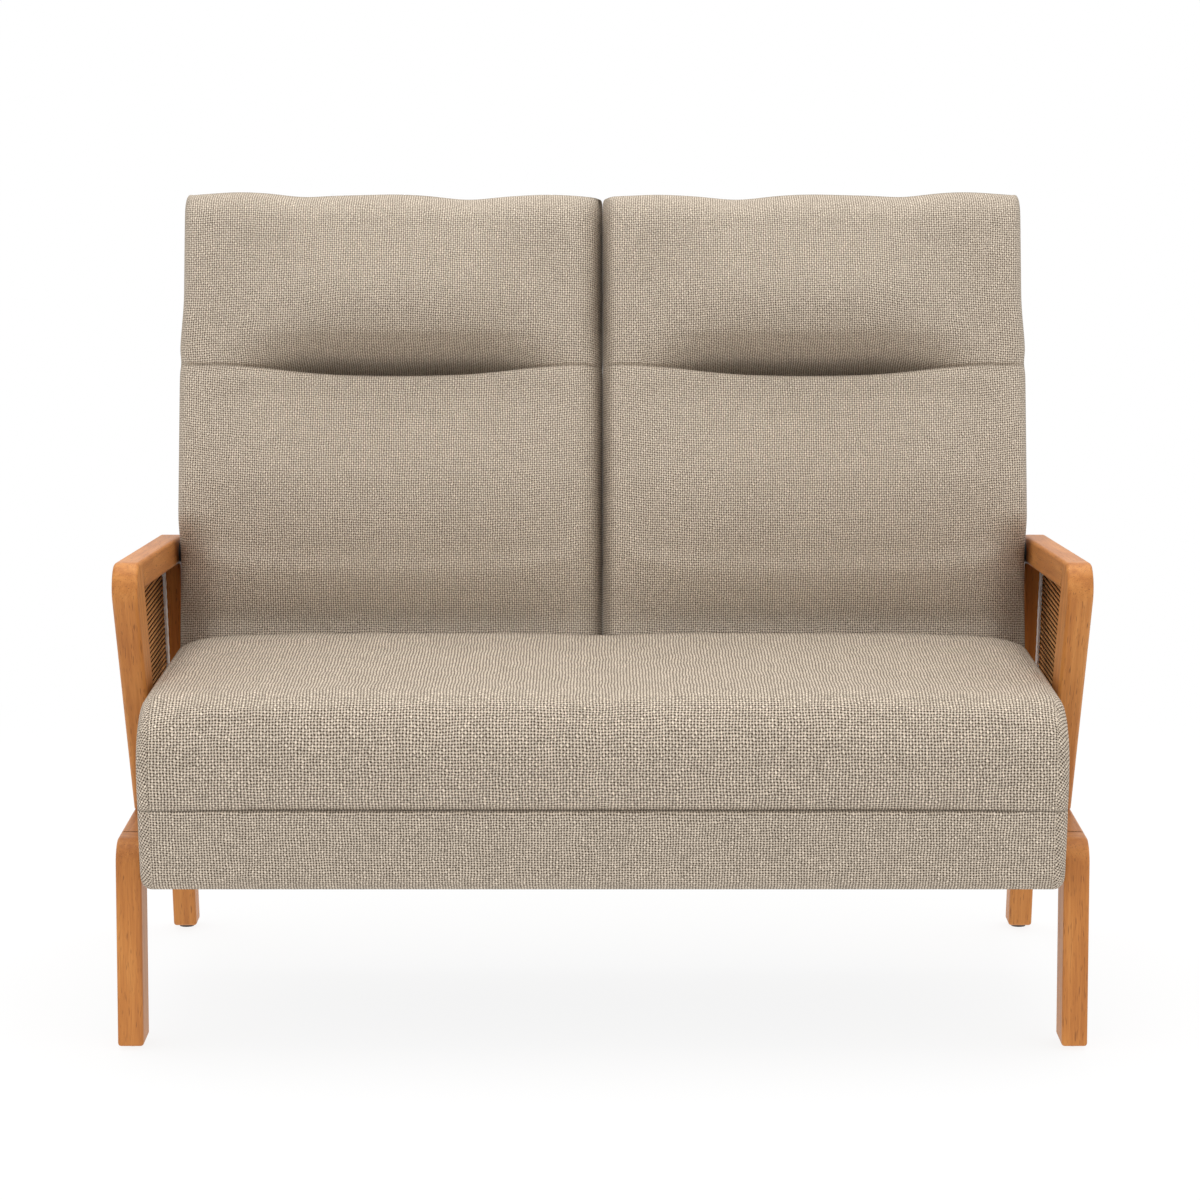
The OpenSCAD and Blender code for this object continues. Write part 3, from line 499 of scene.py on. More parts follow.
# Woven panels
def tube(line, radius, sides):
    """Points, faces and cloth places of a closed rod along a line. radius may change from point to point."""
    line = np.asarray(line, float)
    ways = np.gradient(line, axis=0)
    ways /= norm(ways, axis=1)[:, None]
    out = np.cross(ways, (1.0, 0, 0))
    out /= norm(out, axis=1)[:, None]
    other = np.cross(ways, out)
    radius = np.broadcast_to(radius, len(line))[:, None, None]
    turns = (np.arange(sides) * 2 * pi / sides)[:, None]
    points = line[:, None] + radius * (np.cos(turns) * out[:, None] + np.sin(turns) * other[:, None])
    along = run_along(line)
    faces, sheets = [], []
    for k in range(len(line) - 1):
        for i in range(sides):
            faces.append(ring_face(k, i, sides))
            sheets += [(along[p], q * 1000 / sides) for p, q in cell(k, i)]
    faces.append(tuple(range(sides))[::-1])
    faces.append(tuple(range((len(line) - 1) * sides, len(line) * sides)))
    sheets += [(0, 0)] * (2 * sides)
    return points.reshape(-1, 3), faces, sheets


def bundle(name, tubes, finish, slot):
    """One piece of many rods."""
    points, faces, sheets = [], [], []
    count = 0
    for some, round_them, places in tubes:
        points.append(some)
        faces += [tuple(i + count for i in face) for face in round_them]
        sheets += places
        count += len(some)
    return made(name, np.concatenate(points), faces, finish, slot, sheets)


# Cords: height of a row, distance from the panel's middle, two radii, run into the timber, least length
BAND = 6.85
CORD_OUT = 1.7
CORD_RADII = (1.25, 1.55)
CORD_ON = 4.5
CORD_LEAST = 20
# Upright strands: spacing, radius, run into the timber, least length
STRAND_GAP = 3.0
STRAND_R = 1.1
STRAND_ON = 4
STRAND_LEAST = 15


def woven_panel(side, word, cord, strand):
    """Proud cords laid across the opening on both faces, over upright strands in the middle."""
    foot, head, lean = post_lines()
    middle = side * (ARM_OUT - PANEL_INSET - PANEL_T / 2)
    cords, uprights = [], []
    steps = np.linspace(0, 1, 10)
    for turn in range(int((arm_under(0) - RAIL_TOP) / BAND) + 1):
        z = RAIL_TOP + (turn + 0.5) * BAND
        front = foot[0] - (z - foot[1]) * lean - CORD_ON
        rear = min(leg_face(z) + CORD_ON, (ARM_LOW + 4 - z) / tan(ARM_FALL))
        if rear - front < CORD_LEAST:
            continue
        for face in (-1, 1):
            line = [(middle + side * face * CORD_OUT, row(front + (rear - front) * t), z) for t in steps]
            cords.append(tube(line, CORD_RADII[turn % 2], 8))
    depth = head[0] + 2
    while depth < leg_face(RAIL_TOP) + 2:
        low = max(RAIL_TOP - STRAND_ON, foot[1] + (foot[0] - 3 - depth) / lean)
        top = min(arm_under(depth) + STRAND_ON, GLIDE_H + (LEG_SPREAD + STRAND_ON - depth) / RAKE)
        if top - low > STRAND_LEAST:
            line = [(middle, row(depth), low + (top - low) * t) for t in (0, 0.5, 1)]
            uprights.append(tube(line, STRAND_R, 6))
        depth += STRAND_GAP
    panel = bundle(f"woven_cords_{word}", cords, cord, "woven_cord")
    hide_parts(f"woven_panel_{word}")
    # The upright strands take a near-black finish: painted shade for the gaps between the cords.
    bundle(f"upright_strands_{word}", uprights, strand, "woven_cord")


def beads(side, word, finish):
    """The pale bead round the panel's opening, pinched a little by each band."""
    foot, head, _ = post_lines()
    corners = [foot, head, meet(LEG_SPREAD, GLIDE_H, RAKE, ARM_LOW), (leg_face(RAIL_TOP), RAIL_TOP)]
    x = side * (ARM_OUT - PANEL_INSET - PANEL_T - FIT - BEAD_D / 2)
    rods = []
    for i in range(4):
        a, b = np.array(corners[i]), np.array(corners[(i + 1) % 4])
        way = (b - a) / norm(b - a)
        inward = np.array([way[1], -way[0]])
        wall = 0 if i % 2 == 0 else BEAD_D + 2 * FIT
        # How far the rod stops short of its two corners
        stops = []
        for p, q, r in ((corners[i - 1], a, b), (a, b, corners[(i + 2) % 4])):
            u, w = np.array(p) - np.array(q), np.array(r) - np.array(q)
            c = float(u @ w) / norm(u) / norm(w)
            stops.append((wall + FIT + (BEAD_D + FIT) * max(0.0, c)) / sqrt(1 - c * c))
        length = norm(b - a) - sum(stops)
        along = np.linspace(0, length, int(length / (BAND / 4)) + 2)
        start = a + way * stops[0] + inward * (BEAD_D / 2 + FIT)
        line = [(x, row(start[0] + way[0] * s), start[1] + way[1] * s) for s in along]
        rods.append(tube(line, BEAD_D / 2 + 0.2 * np.cos(along * pi / BAND), 12))
    bead = bundle(f"panel_bead_{word}", rods, finish, "bead_metal")
    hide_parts(f"panel_beads_{word}")


# Upholstery
def eased_step(x, low, high):
    t = np.clip((np.asarray(x, float) - low) / (high - low), 0, 1)
    return t * t * (3 - 2 * t)


def risen(share, reach, power):
    """A rise that starts steeply and is level from reach on."""
    return 1 - (1 - np.minimum(share / reach, 1)) ** power


def spread(marks):
    """Joined runs of evenly spaced numbers: marks are (start, stop, count) with shared ends."""
    parts = [np.linspace(a, b, n + 1)[:-1] for a, b, n in marks]
    return np.concatenate(parts + [[marks[-1][1]]])


def fill_between(edge_one, edge_two, end_one, end_two):
    """A sheet of points between four edges that meet at its corners."""
    n, m = len(edge_one), len(end_one)
    s, t = np.linspace(0, 1, n)[None, :, None], np.linspace(0, 1, m)[:, None, None]
    along = (1 - t) * edge_one[None] + t * edge_two[None]
    across = (1 - s) * end_one[:, None] + s * end_two[:, None]
    corners = ((1 - s) * (1 - t) * edge_one[0] + s * (1 - t) * edge_one[-1]
               + (1 - s) * t * edge_two[0] + s * t * edge_two[-1])
    return along + across - corners


def soft_dents(seed, places, size, waves=14):
    """Gentle unevenness of stuffed cloth, the same each run."""
    rng = np.random.default_rng(seed)
    total = np.zeros(len(places))
    for _ in range(waves):
        way = rng.normal(size=3)
        way /= norm(way)
        total += np.sin(places @ way * 2 * pi / (size * rng.uniform(0.7, 1.9)) + rng.uniform(0, 6.28))
    return total / waves ** 0.5 * 0.7


# A back unit. x runs out from the settee's middle, t forward from its rear face, v up the lean.
# Roundings: the top's rear edge, the outer and inner front edges and the rear edges
REAR_R = 10
SIDE_R = 14
INNER_R = 19
BACK_EDGE_R = 8
# The tucked seam: its drop, its dip, its depth and width where it is plain, its depth as a fold, and
# how far the lower panel falls back towards each of the two
SEAM_DROP = 5.5
SEAM_DIP = 5.0
SEAM_DEPTH = 3.8
SEAM_WIDTH = 1.9
TUCK_DEPTH = 70
PLAIN_FALL = 28
TUCK_FALL = 38


def width_share(x):
    """Share of a back unit's width, from the settee's middle outwards."""
    return np.clip((x - SIDE_R) / (BACK_W - 2 * SIDE_R), 0, 1)


def seam_height(share):
    """Height of the tucked seam: it dips under the middle of the pillow."""
    inside = np.clip((share - 0.15) / 0.66, 0, 1)
    return TUCK_V - SEAM_DROP - SEAM_DIP * np.sin(inside * pi) ** 1.3


def fold_share(share):
    """How far the tuck is a deep fold: not at the ends, where it is a plain seam."""
    return eased_step(share, 0.05, 0.36) * eased_step(1 - share, 0.08, 0.40)


def pillow_round(up):
    """Forward reach of the head pillow over its height: steeply out of the tuck, then back to the top."""
    rise = 0.42 * risen(up, 0.22, 1.8) + 0.58 * risen(up, 0.55, 3)
    return 112 * rise - 46 * np.maximum(0, (up - 0.38) / 0.62) ** 1.5


def lumbar_round(low, fold):
    """Forward reach of the lower panel over its height: out from the seat, then in towards the tuck.
    Under the seam's plain ends it comes back flush with the pillow, and under the fold further in."""
    fall = PLAIN_FALL + (TUCK_FALL - PLAIN_FALL) * fold
    return 51 * risen(low, 0.55, 2.5) - 23 - fall * np.maximum(0, (low - 0.52) / 0.48) ** 1.5


def face_bulge(share, v):
    """How far the front stands forward of the plain slab."""
    seam = seam_height(share)
    fullness = 0.35 + 0.65 * (1 - np.abs(2 * share - 1) ** 4)
    low = np.clip((v - SEAT_V + 8) / (TUCK_V - SEAT_V + 8), 0, 1)
    fold = fold_share(share)
    lumbar = fullness * lumbar_round(low, fold)
    above = v - seam
    up = np.clip(above / (BACK_L - seam), 0, 1)
    pillow = fold * (pillow_round(up) - TUCK_DEPTH) + (1 - fold) * 9 * np.sin(pi * up)
    seam_line = -SEAM_DEPTH * (1 - fold) * np.exp(-(above / SEAM_WIDTH) ** 2)
    lip_depth = (TUCK_DEPTH + fullness * (PLAIN_FALL - TUCK_FALL)) * fold + SEAM_DEPTH * (1 - fold)
    lip = -lip_depth * np.exp(-(above / (SEAM_WIDTH + 3.7 * fold)) ** 2)
    return np.where(above < 0, lumbar + lip, pillow + seam_line)


def drawn_in(v):
    """How far the outer side pulls in: at the tuck, beside the pillow and at the top's corner."""
    return (1.6 * exp(-((v - TUCK_V) / 12) ** 2) + 4.6 * float(eased_step(v, TUCK_V + 8, TUCK_V + 95))
            + 3.0 * exp(-(BACK_L - v) / 6))


def inner_side(v):
    """Where the inner side stands: it swells over the gap until the two units nearly meet."""
    return (-1.47 + 0.25 * exp(-((v - TUCK_V) / 8) ** 2) + 2.8 * exp(-(BACK_L - v) / 3)
            + 1.0 * exp(-v / 20))


def roll(v, r):
    """How far a face has rolled in at height v, where its top edge has the radius r."""
    return 0.0 if v < BACK_L - r else r - sqrt(max(0.0, r * r - (v - BACK_L + r) ** 2))


# The top edge's swells and dips: share of the width from the middle, height and width of each
TOP_SWELLS = ((0.13, 1.6, 0.06), (0.32, -5.6, 0.075), (0.50, 1.6, 0.08), (0.71, -2.6, 0.055),
              (0.86, 4.6, 0.10))


def top_wave(x):
    """The top edge rises and falls, with a small ear at the outer corner."""
    share = x / BACK_W
    wave = sum(h * np.exp(-((share - at) / wide) ** 2) for at, h, wide in TOP_SWELLS)
    return wave + 2.5 * np.exp(-((BACK_W - x - 9) / 5) ** 2)


# Steps along a ring's front or rear, along a side, and in half a corner
WIDE_STEPS = 50
SIDE_STEPS = 9
ARC = 5


def back_ring(v):
    """Points round a back unit at height v, from the middle of the front's inner corner."""
    left, right = inner_side(v), BACK_W - drawn_in(v)
    rear = roll(v, REAR_R)
    lost = roll(v, TOP_R)
    face = BACK_T - lost * (1 - REAR_R / BACK_T)
    full = 1 - lost / TOP_R
    turn = np.linspace(0, pi / 2, 2 * ARC + 1)
    xs = np.linspace(left + INNER_R, right - SIDE_R, WIDE_STEPS + 1)
    share = (xs - left - INNER_R) / (right - left - INNER_R - SIDE_R) * 0.94 + 0.03
    front = np.stack([xs, face + full * face_bulge(share, v)], 1)
    ends = front[0, 1] - face, front[-1, 1] - face
    corner_b = np.stack([right - SIDE_R + SIDE_R * np.sin(turn),
                         face + ends[1] * np.cos(turn) - SIDE_R + SIDE_R * np.cos(turn)], 1)
    corner_a = np.stack([left + INNER_R - INNER_R * np.sin(turn[::-1]),
                         face + ends[0] * np.cos(turn[::-1]) - INNER_R + INNER_R * np.cos(turn[::-1])], 1)
    r = BACK_EDGE_R
    side_b = np.linspace((right, face - SIDE_R), (right, rear + r), SIDE_STEPS + 1)
    rear_b = np.stack([right - r + r * np.cos(turn), rear + r - r * np.sin(turn)], 1)
    rear_line = np.linspace((right - r, rear), (left + r, rear), WIDE_STEPS + 1)
    rear_line[:, 1] -= 1.5 * full * np.sin(np.linspace(0, pi, WIDE_STEPS + 1))
    rear_a = np.stack([left + r - r * np.sin(turn), rear + r - r * np.cos(turn)], 1)
    side_a = np.linspace((left, rear + r), (left, face - INNER_R), SIDE_STEPS + 1)
    return np.concatenate([corner_a[ARC:-1], front, corner_b[1:-1], side_b, rear_b[1:-1], rear_line,
                           rear_a[1:-1], side_a, corner_a[1:ARC]])


def back_levels():
    """Heights of the rings, closest round the tuck and over the top."""
    low = spread([(0, SEAT_V, 14), (SEAT_V, TUCK_V - 34, 34), (TUCK_V - 34, TUCK_V - 18, 4),
                  (TUCK_V - 18, TUCK_V + 8, 20), (TUCK_V + 8, TUCK_V + 36, 9),
                  (TUCK_V + 36, BACK_L - TOP_R, 17)])
    turn = np.linspace(0, radians(80), 9)[1:]
    return np.concatenate([low, BACK_L - TOP_R + TOP_R * np.sin(turn)])


def in_row(side, points):
    """From a back unit's own axes to the shared frame's."""
    x, t, v = points.T
    return np.stack([side * (BACK_GAP / 2 + x), row(REAR_Y - t * cos(LEAN) + v * sin(LEAN)),
                     DECK + t * sin(LEAN) + v * cos(LEAN)], 1)


# How closely the yarns lie, against the seat border's: across and up the backs, and on the seat's top
YARNS_ACROSS = 1.16
YARNS_UP = 1.10
SEAT_YARNS = 0.92
# How much cloth each row of a cap takes, and the rise of the top's dome
CAP_ROW = 9
DOME = 4.5


def back_body():
    """Points, faces and cloth places of a back unit, in its own axes."""
    levels = back_levels()
    flat = [back_ring(v) for v in levels]
    n = len(flat[0])
    rings = []
    for v, ring in zip(levels, flat):
        sheer = tan(LEAN) * (1 - v / BACK_L)
        wave = max(0.0, (v - BACK_L) / (2 * TOP_R) + 1) ** 1.2
        height = v + ring[:, 1] * sheer + wave * top_wave(ring[:, 0])
        rings.append(np.stack([ring[:, 0], ring[:, 1], height], 1))
    rings = np.array(rings)
    m = len(rings)
    widest = flat[30]
    around = run_along(np.concatenate([widest, widest[:1]]))
    # The lower panel's cloth is measured from the foot up, and the pillow's from the top down
    rises = norm(np.diff(rings, axis=0), axis=2)
    climbs = np.concatenate([np.zeros((1, n)), np.cumsum(rises, axis=0)])
    panels = climbs, BACK_L - (climbs[-1] - climbs)
    seams = np.where(flat[0][:, 1] > BACK_T / 2, seam_height(width_share(flat[0][:, 0])), TUCK_V)
    points = rings.reshape(-1, 3)
    faces, sheets = [], []
    for k in range(m - 1):
        for i in range(n):
            faces.append(ring_face(k, i, n))
            up = panels[int(levels[k] + levels[k + 1] > 2 * seams[i])]
            sheets += [(around[p] * YARNS_ACROSS, up[q, p % n] * YARNS_UP) for q, p in cell(k, i)]
    # The caps' corners: the middle of each of the ring's rounded corners, the first being its first point
    c2 = ARC + WIDE_STEPS + ARC
    c3 = c2 + ARC + SIDE_STEPS + ARC
    c4 = n - (ARC + SIDE_STEPS + ARC)

    def four_edges(ring):
        """The points, or their numbers, along a ring's front, rear, inner and outer side."""
        near = np.concatenate([ring[c4:], ring[:1]])[::-1]
        return ring[:c2 + 1], ring[c3:c4 + 1][::-1], near, ring[c2:c3 + 1]

    for ring_index, top in ((m - 1, True), (0, False)):
        sheet = fill_between(*four_edges(rings[ring_index]))
        rows, cols = sheet.shape[:2]
        if top:
            s = np.linspace(-1, 1, cols)[None, :]
            t = np.linspace(-1, 1, rows)[:, None]
            sheet[..., 2] += DOME * (1 - t ** 2) * (1 - s ** 6)
        index = np.zeros((rows, cols), int)
        index[0], index[-1], index[:, 0], index[:, -1] = four_edges(ring_index * n + np.arange(n))
        inner = sheet[1:-1, 1:-1].reshape(-1, 3)
        index[1:-1, 1:-1] = len(points) + np.arange(len(inner)).reshape(rows - 2, cols - 2)
        points = np.concatenate([points, inner])
        far = BACK_L if top else 0
        for r in range(rows - 1):
            for c in range(cols - 1):
                face = tuple(int(index[q, p]) for q, p in cell(r, c))
                place = [(around[p] * YARNS_ACROSS, (far + q * CAP_ROW) * YARNS_UP) for q, p in cell(r, c)]
                faces.append(face if top else face[::-1])
                sheets += place if top else place[::-1]
    return points, faces, sheets


def settle(points, faces, held, push=3.0, cap=6.0, frames=12, stiff=18.0):
    """Blows the cover up a little as cloth over its stuffing and gives back its points.
    held says how firmly each point is sewn down, from 0 to 1."""
    mesh = bpy.data.meshes.new("settling")
    mesh.from_pydata([tuple(p) for p in points * MM], [], faces)
    body = into_scene("settling", mesh)
    group = body.vertex_groups.new(name="held")
    for level in np.unique(np.round(held, 2)):
        group.add([int(i) for i in np.nonzero(np.round(held, 2) == level)[0]], float(level), "REPLACE")
    cloth = body.modifiers.new("cloth", "CLOTH")
    for setting, value in {
            "quality": 4, "mass": 0.35, "tension_stiffness": stiff, "compression_stiffness": stiff,
            "shear_stiffness": stiff / 3, "bending_stiffness": 1.2, "use_pressure": True,
            "uniform_pressure_force": push, "vertex_group_mass": "held", "pin_stiffness": 1.0}.items():
        setattr(cloth.settings, setting, value)
    cloth.settings.effector_weights.gravity = 0.0
    cloth.collision_settings.use_collision = False
    cloth.point_cache.frame_start, cloth.point_cache.frame_end = 1, frames
    for number in range(1, frames + 1):
        scene.frame_set(number)
    result = body.evaluated_get(bpy.context.evaluated_depsgraph_get())
    blown = np.zeros(len(points) * 3)
    result.data.vertices.foreach_get("co", blown)
    blown = blown.reshape(-1, 3) / MM
    scene.frame_set(1)
    bpy.data.objects.remove(body)
    bpy.data.meshes.remove(mesh)
    move = blown - points
    size = norm(move, axis=1, keepdims=True)
    return points + move * (cap * np.tanh(size / cap) / np.maximum(size, 1e-6))


def smooth_once(piece):
    """One subdivision, applied."""
    rounder = piece.modifiers.new("round", "SUBSURF")
    rounder.levels = rounder.render_levels = 1
    graph = bpy.context.evaluated_depsgraph_get()
    finer = bpy.data.meshes.new_from_object(piece.evaluated_get(graph), preserve_all_data_layers=True,
                                            depsgraph=graph)
    piece.modifiers.clear()
    piece.data = finer


def back_units(finish):
    points, faces, sheets = back_body()
    x, t, v = points.T
    above = v - seam_height(width_share(x))
    near_seam = np.exp(-(above / 5.0) ** 2) * (t > 40)
    front = eased_step(t, BACK_T - 40, BACK_T - 12)
    edge = eased_step(np.minimum(x, BACK_W - x), 4, 46)
    free = front * edge * eased_step(v, SEAT_V - 10, SEAT_V + 130) * eased_step(BACK_L - v, 4, 60)
    held = np.clip(1 - free + near_seam, 0, 1)
    # The swelling grows slowly away from the tucked seam and from the top edge, so neither gets a ledge
    swelling = (1 - np.exp(-(above / np.where(above > 0, 62.0, 24.0)) ** 2)) * eased_step(BACK_L - v, 0, 120)
    points += (settle(points, faces, held) - points) * swelling[:, None]
    beside_pillow = 1 + 0.4 * eased_step(v, TUCK_V, TUCK_V + 60)
    points[:, 1] += soft_dents(11, points, 190) * 1.1 * (1 - held)
    # The front is drawn back along the inner edge, and low down beside the arm
    forward = eased_step(t, BACK_T - 60, BACK_T - 10)
    beside_arm = 42 * eased_step(v, SEAT_V + 150, SEAT_V + 90) * np.exp(-((BACK_W - x) / 33) ** 2)
    places = np.asarray(sheets, float).reshape(-1, 4, 2)
    for side, word, fall, reach in ((-1, "left", 22, 20), (1, "right", 9, 9)):
        inner_fall = (fall * np.exp(-(x / reach) ** 2) + 12 * np.exp(-(x / 6.0) ** 2)) * beside_pillow
        drawn = points.copy()
        drawn[:, 1] -= (inner_fall + beside_arm) * forward
        # The right unit is the left's mirror image, so its faces are walked the other way
        turned = [face[::-side] for face in faces]
        piece = made(f"back_cushion_{word}", in_row(side, drawn), turned, finish, "cover_cloth",
                     places[:, ::-side].reshape(-1, 2))
        smooth_once(piece)
        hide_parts(f"back_cover_{word}", f"back_foam_{word}", f"head_pad_{word}")


# The seat unit is lofted across from side to side
NOSE_D = 75
NOSE_H = 63
SEAM_Z = 317
SETBACK = 27
HEM_R = 34
HEM_DIP = 2.2
REAR_LEDGE = 6
SOFT_GAP = 3
EDGE_R = 13
# Width of the strip of cloth down each end, and the slant that it is cut on
STRIP = 15
SLANT = radians(32)
# Steps along the bottom, and heights of the points near the border's seam
BOTTOM_STEPS = 46
NEAR_SEAM = (-7, -5, -3.6, -2.4, -1.4, -0.6, 0, 0.3, 0.9, 1.8, 3, 4.6, 6.6, 9, 12, 15)


def turned_under(share):
    """Share of the full depth of a seam at a share of its height: square at the stitches, then round."""
    share = min(1.0, max(0.0, share))
    return 1 - sqrt(1 - (1 - share) ** 2)


def seat_profile(g, push, seam):
    """The seat's outline from the side, drawn in by g and pushed forward by push.
    Returns depths and heights, from the rear's foot, along the bottom, up the front and over the top."""
    low, top = SEAT_LOW + g, SEAT_TOP - g
    nose = SEAT_NOSE + g - push
    brow = top - NOSE_H
    hem_y = nose + SETBACK + push
    r = max(HEM_R - g, 9)
    rear = REAR_Y + REAR_LEDGE - g
    foot, head = FOOT_Y - SOFT_GAP - g, FACE_Y - SOFT_GAP - g
    pts = []
    for k in range(BOTTOM_STEPS):
        behind = (rear - hem_y - r) * (1 - k / BOTTOM_STEPS)
        pts.append((hem_y + r + behind, low - HEM_DIP * exp(-(behind / 60) ** 2)))
    pts += [(hem_y + r + r * cos(a), low + r + (r + HEM_DIP) * sin(a))
            for a in np.linspace(1.5 * pi, pi, 9)]
    near = [SEAM_Z + t for t in NEAR_SEAM]
    heights = np.concatenate([np.linspace(low + r, near[0], 9)[1:-1], near,
                              np.linspace(near[-1], brow, 9)[1:-1]])
    for z in heights:
        rise = (brow - z) / (brow - low - r)
        y = nose + (hem_y - nose) * max(0, rise) ** 1.3
        if z >= SEAM_Z:
            y += (1.6 + 10.5 * seam) * turned_under((z - SEAM_Z) / (5 + 10 * seam))
        else:
            y += (1.6 + 4.4 * seam) * turned_under((SEAM_Z - z) / 4.5)
        puff = 1.5 * exp(-((z - SEAM_Z - 30) / 18) ** 2) + 1.3 * sin(
            pi * min(1, max(0, (z - low - r) / (SEAM_Z - low - r))))
        pts.append((y - puff, z))
    pts += [(nose + NOSE_D + NOSE_D * cos(a), brow + NOSE_H * sin(a))
            for a in np.linspace(pi, pi / 2, 17)]
    for *end, steps in ((head, top, 40), (foot, DECK - g, 12), (rear, DECK - g, 10), (rear, low, 8)):
        pts += list(np.linspace(pts[-1], end, steps + 1)[1:])
    return np.array(pts[:-1])


def seat_crown(x, depth):
    """Rise of the top: a broad crown that rolls down at the sides, most of all towards the back."""
    s = abs(x) / SEAT_HALF
    rear = eased_step(depth, 120, 380)
    edge = SEAT_HALF - abs(x)
    side_roll = (8.5 + 4.0 * rear) * np.exp(-(edge / (15 + 10 * rear)) ** 1.3)
    return 9.0 * (1 - s ** 6) + 4.6 + 2.5 * rear - side_roll - 3 * exp(-(9 * s) ** 2)


def seat_slice(x):
    """The seat's outline at x, with its crown, and with the welts of the end seams and the middle seam."""
    inside = max(0.0, abs(x) - (SEAT_HALF - EDGE_R))
    g = EDGE_R - sqrt(max(0.0, EDGE_R * EDGE_R - inside * inside))
    s = abs(x) / SEAT_HALF
    base = seat_profile(g, 4 * (1 - s * s), float(eased_step(SEAT_HALF - abs(x), 8, 190)) ** 0.7)
    on_top = eased_step(base[:, 1], SEAT_TOP - g - NOSE_H, SEAT_TOP - g - 8)
    base[:, 1] += on_top * seat_crown(x, base[:, 0]) * (base[:, 0] < FACE_Y + 1)
    welt = 1.4 * exp(-((SEAT_HALF - abs(x) - STRIP) / 2.0) ** 2) + 0.7 * exp(-(x / 1.8) ** 2)
    ways = np.gradient(base, axis=0)
    out = np.stack([ways[:, 1], -ways[:, 0]], 1)
    out /= np.maximum(norm(out, axis=1), 1e-6)[:, None]
    shown = (base[:, 0] < FACE_Y - 20) & (base[:, 1] > SEAT_LOW + 3)
    return base + out * (welt * shown)[:, None]


def slanted(u, w):
    """A place on the end strips' cloth."""
    return u * cos(SLANT) - w * sin(SLANT), u * sin(SLANT) + w * cos(SLANT)


def seat_end(bottom, top):
    """Triangles between the points along an end's bottom and those over its top, which share their ends.
    Both lines are walked together, so the end stays one tidy sheet."""
    faces = []
    a, b = 0, 0
    last_a, last_b = len(bottom) - 1, len(top) - 1
    while a < last_a or b < last_b:
        if b >= last_b or (a < last_a and (a + 1) / last_a <= (b + 1) / last_b):
            faces.append((bottom[a], bottom[a + 1], top[b]))
            a += 1
        else:
            faces.append((bottom[a], top[b + 1], top[b]))
            b += 1
    return [face for face in faces if len(set(face)) == 3]


def seat_unit(finish):
    half = np.concatenate([spread([(0, SEAT_HALF - 60, 50), (SEAT_HALF - 60, SEAT_HALF - 24, 6),
                                   (SEAT_HALF - 24, SEAT_HALF - EDGE_R, 6)])[:-1],
                           SEAT_HALF - EDGE_R + EDGE_R * np.sin(np.linspace(0, pi / 2, 8))])
    xs = np.concatenate([-half[::-1], half[1:]])
    slices = np.array([seat_slice(x) for x in xs])
    m, n = slices.shape[:2]
    points = np.concatenate([np.repeat(xs[:, None], n, 1)[..., None], slices], 2).reshape(-1, 3)
    middle = slices[m // 2]
    run = run_along(np.concatenate([middle, middle[:1]]))
    across = run_along(np.stack([xs, -slices[:, :, 0].min(axis=1)], 1))
    faces, sheets = [], []
    for k in range(m - 1):
        for i in range(n):
            faces.append(ring_face(k, i, n))
            if abs(xs[k] + xs[k + 1]) / 2 > SEAT_HALF - STRIP:
                sheets += [slanted(across[p], run[q]) for p, q in cell(k, i)]
            else:
                closeness = SEAT_YARNS if slices[k, i, 1] >= SEAM_Z - 0.1 else 1.0
                sheets += [(across[p] * closeness, run[q] * closeness) for p, q in cell(k, i)]
    for end in (0, m - 1):
        numbers = list(range(end * n, end * n + n))
        for face in seat_end(numbers[:BOTTOM_STEPS + 1], numbers[:BOTTOM_STEPS - 1:-1]):
            face = face[::-1] if end == 0 else face
            faces.append(face)
            sheets += [slanted(points[p][1], points[p][2]) for p in face]
    x, y, z = points.T
    free = (eased_step(z, SEAM_Z + 6, SEAM_Z + 50) * eased_step(SEAT_HALF - np.abs(x), 14, 70)
            * eased_step(FACE_Y - 14 - y, 0, 60))
    points = settle(points, faces, 1 - free, push=2.0, cap=3.0)
    points[:, 1] += FRONT_FACE
    points[:, 2] += soft_dents(5, points, 260) * 1.3 * free
    piece = made("seat_cushion", points, faces, finish, "cover_cloth", sheets)
    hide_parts("seat_cover", "seat_foam")


STAPLE_GAP = 42
LINING_T = 0.5


def dust_cloth(finish):
    """The black cloth stapled under the seat, slack between its staples."""
    low, high = (np.array(c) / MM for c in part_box("seat_dust_cover"))
    nx, ny = 96, 48
    xs, ys = np.linspace(low[0], high[0], nx), np.linspace(low[1], high[1], ny)
    gx, gy = np.meshgrid(xs, ys, indexing="ij")
    edge = np.minimum(np.minimum(gx - low[0], high[0] - gx), np.minimum(gy - low[1], high[1] - gy))
    pull = np.cos(gx * 2 * pi / STAPLE_GAP) * np.cos(gy * 2 * pi / STAPLE_GAP)
    sag = low[2] - 1.6 * eased_step(edge, 0, 120) - 0.5 * pull * np.exp(-edge / 18)
    lower = np.stack([gx, gy, np.minimum(sag, high[2] - 0.4)], -1).reshape(-1, 3)
    upper = lower + (0, 0, LINING_T)
    index = np.arange(nx * ny).reshape(nx, ny)
    faces = []
    for i in range(nx - 1):
        for j in range(ny - 1):
            quad = tuple(int(index[p]) for p in cell(i, j))
            faces += [quad, tuple(p + nx * ny for p in quad[::-1])]
    rim = np.concatenate([index[:, 0], index[-1, 1:], index[-2::-1, -1], index[0, -2:0:-1]]).tolist()
    for a, b in zip(rim, rim[1:] + rim[:1]):
        faces.append((a, b, b + nx * ny, a + nx * ny))
    piece = made("dust_cloth_under_seat", np.concatenate([lower, upper]), faces, finish, "dust_cloth")
    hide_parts("seat_dust_cover")


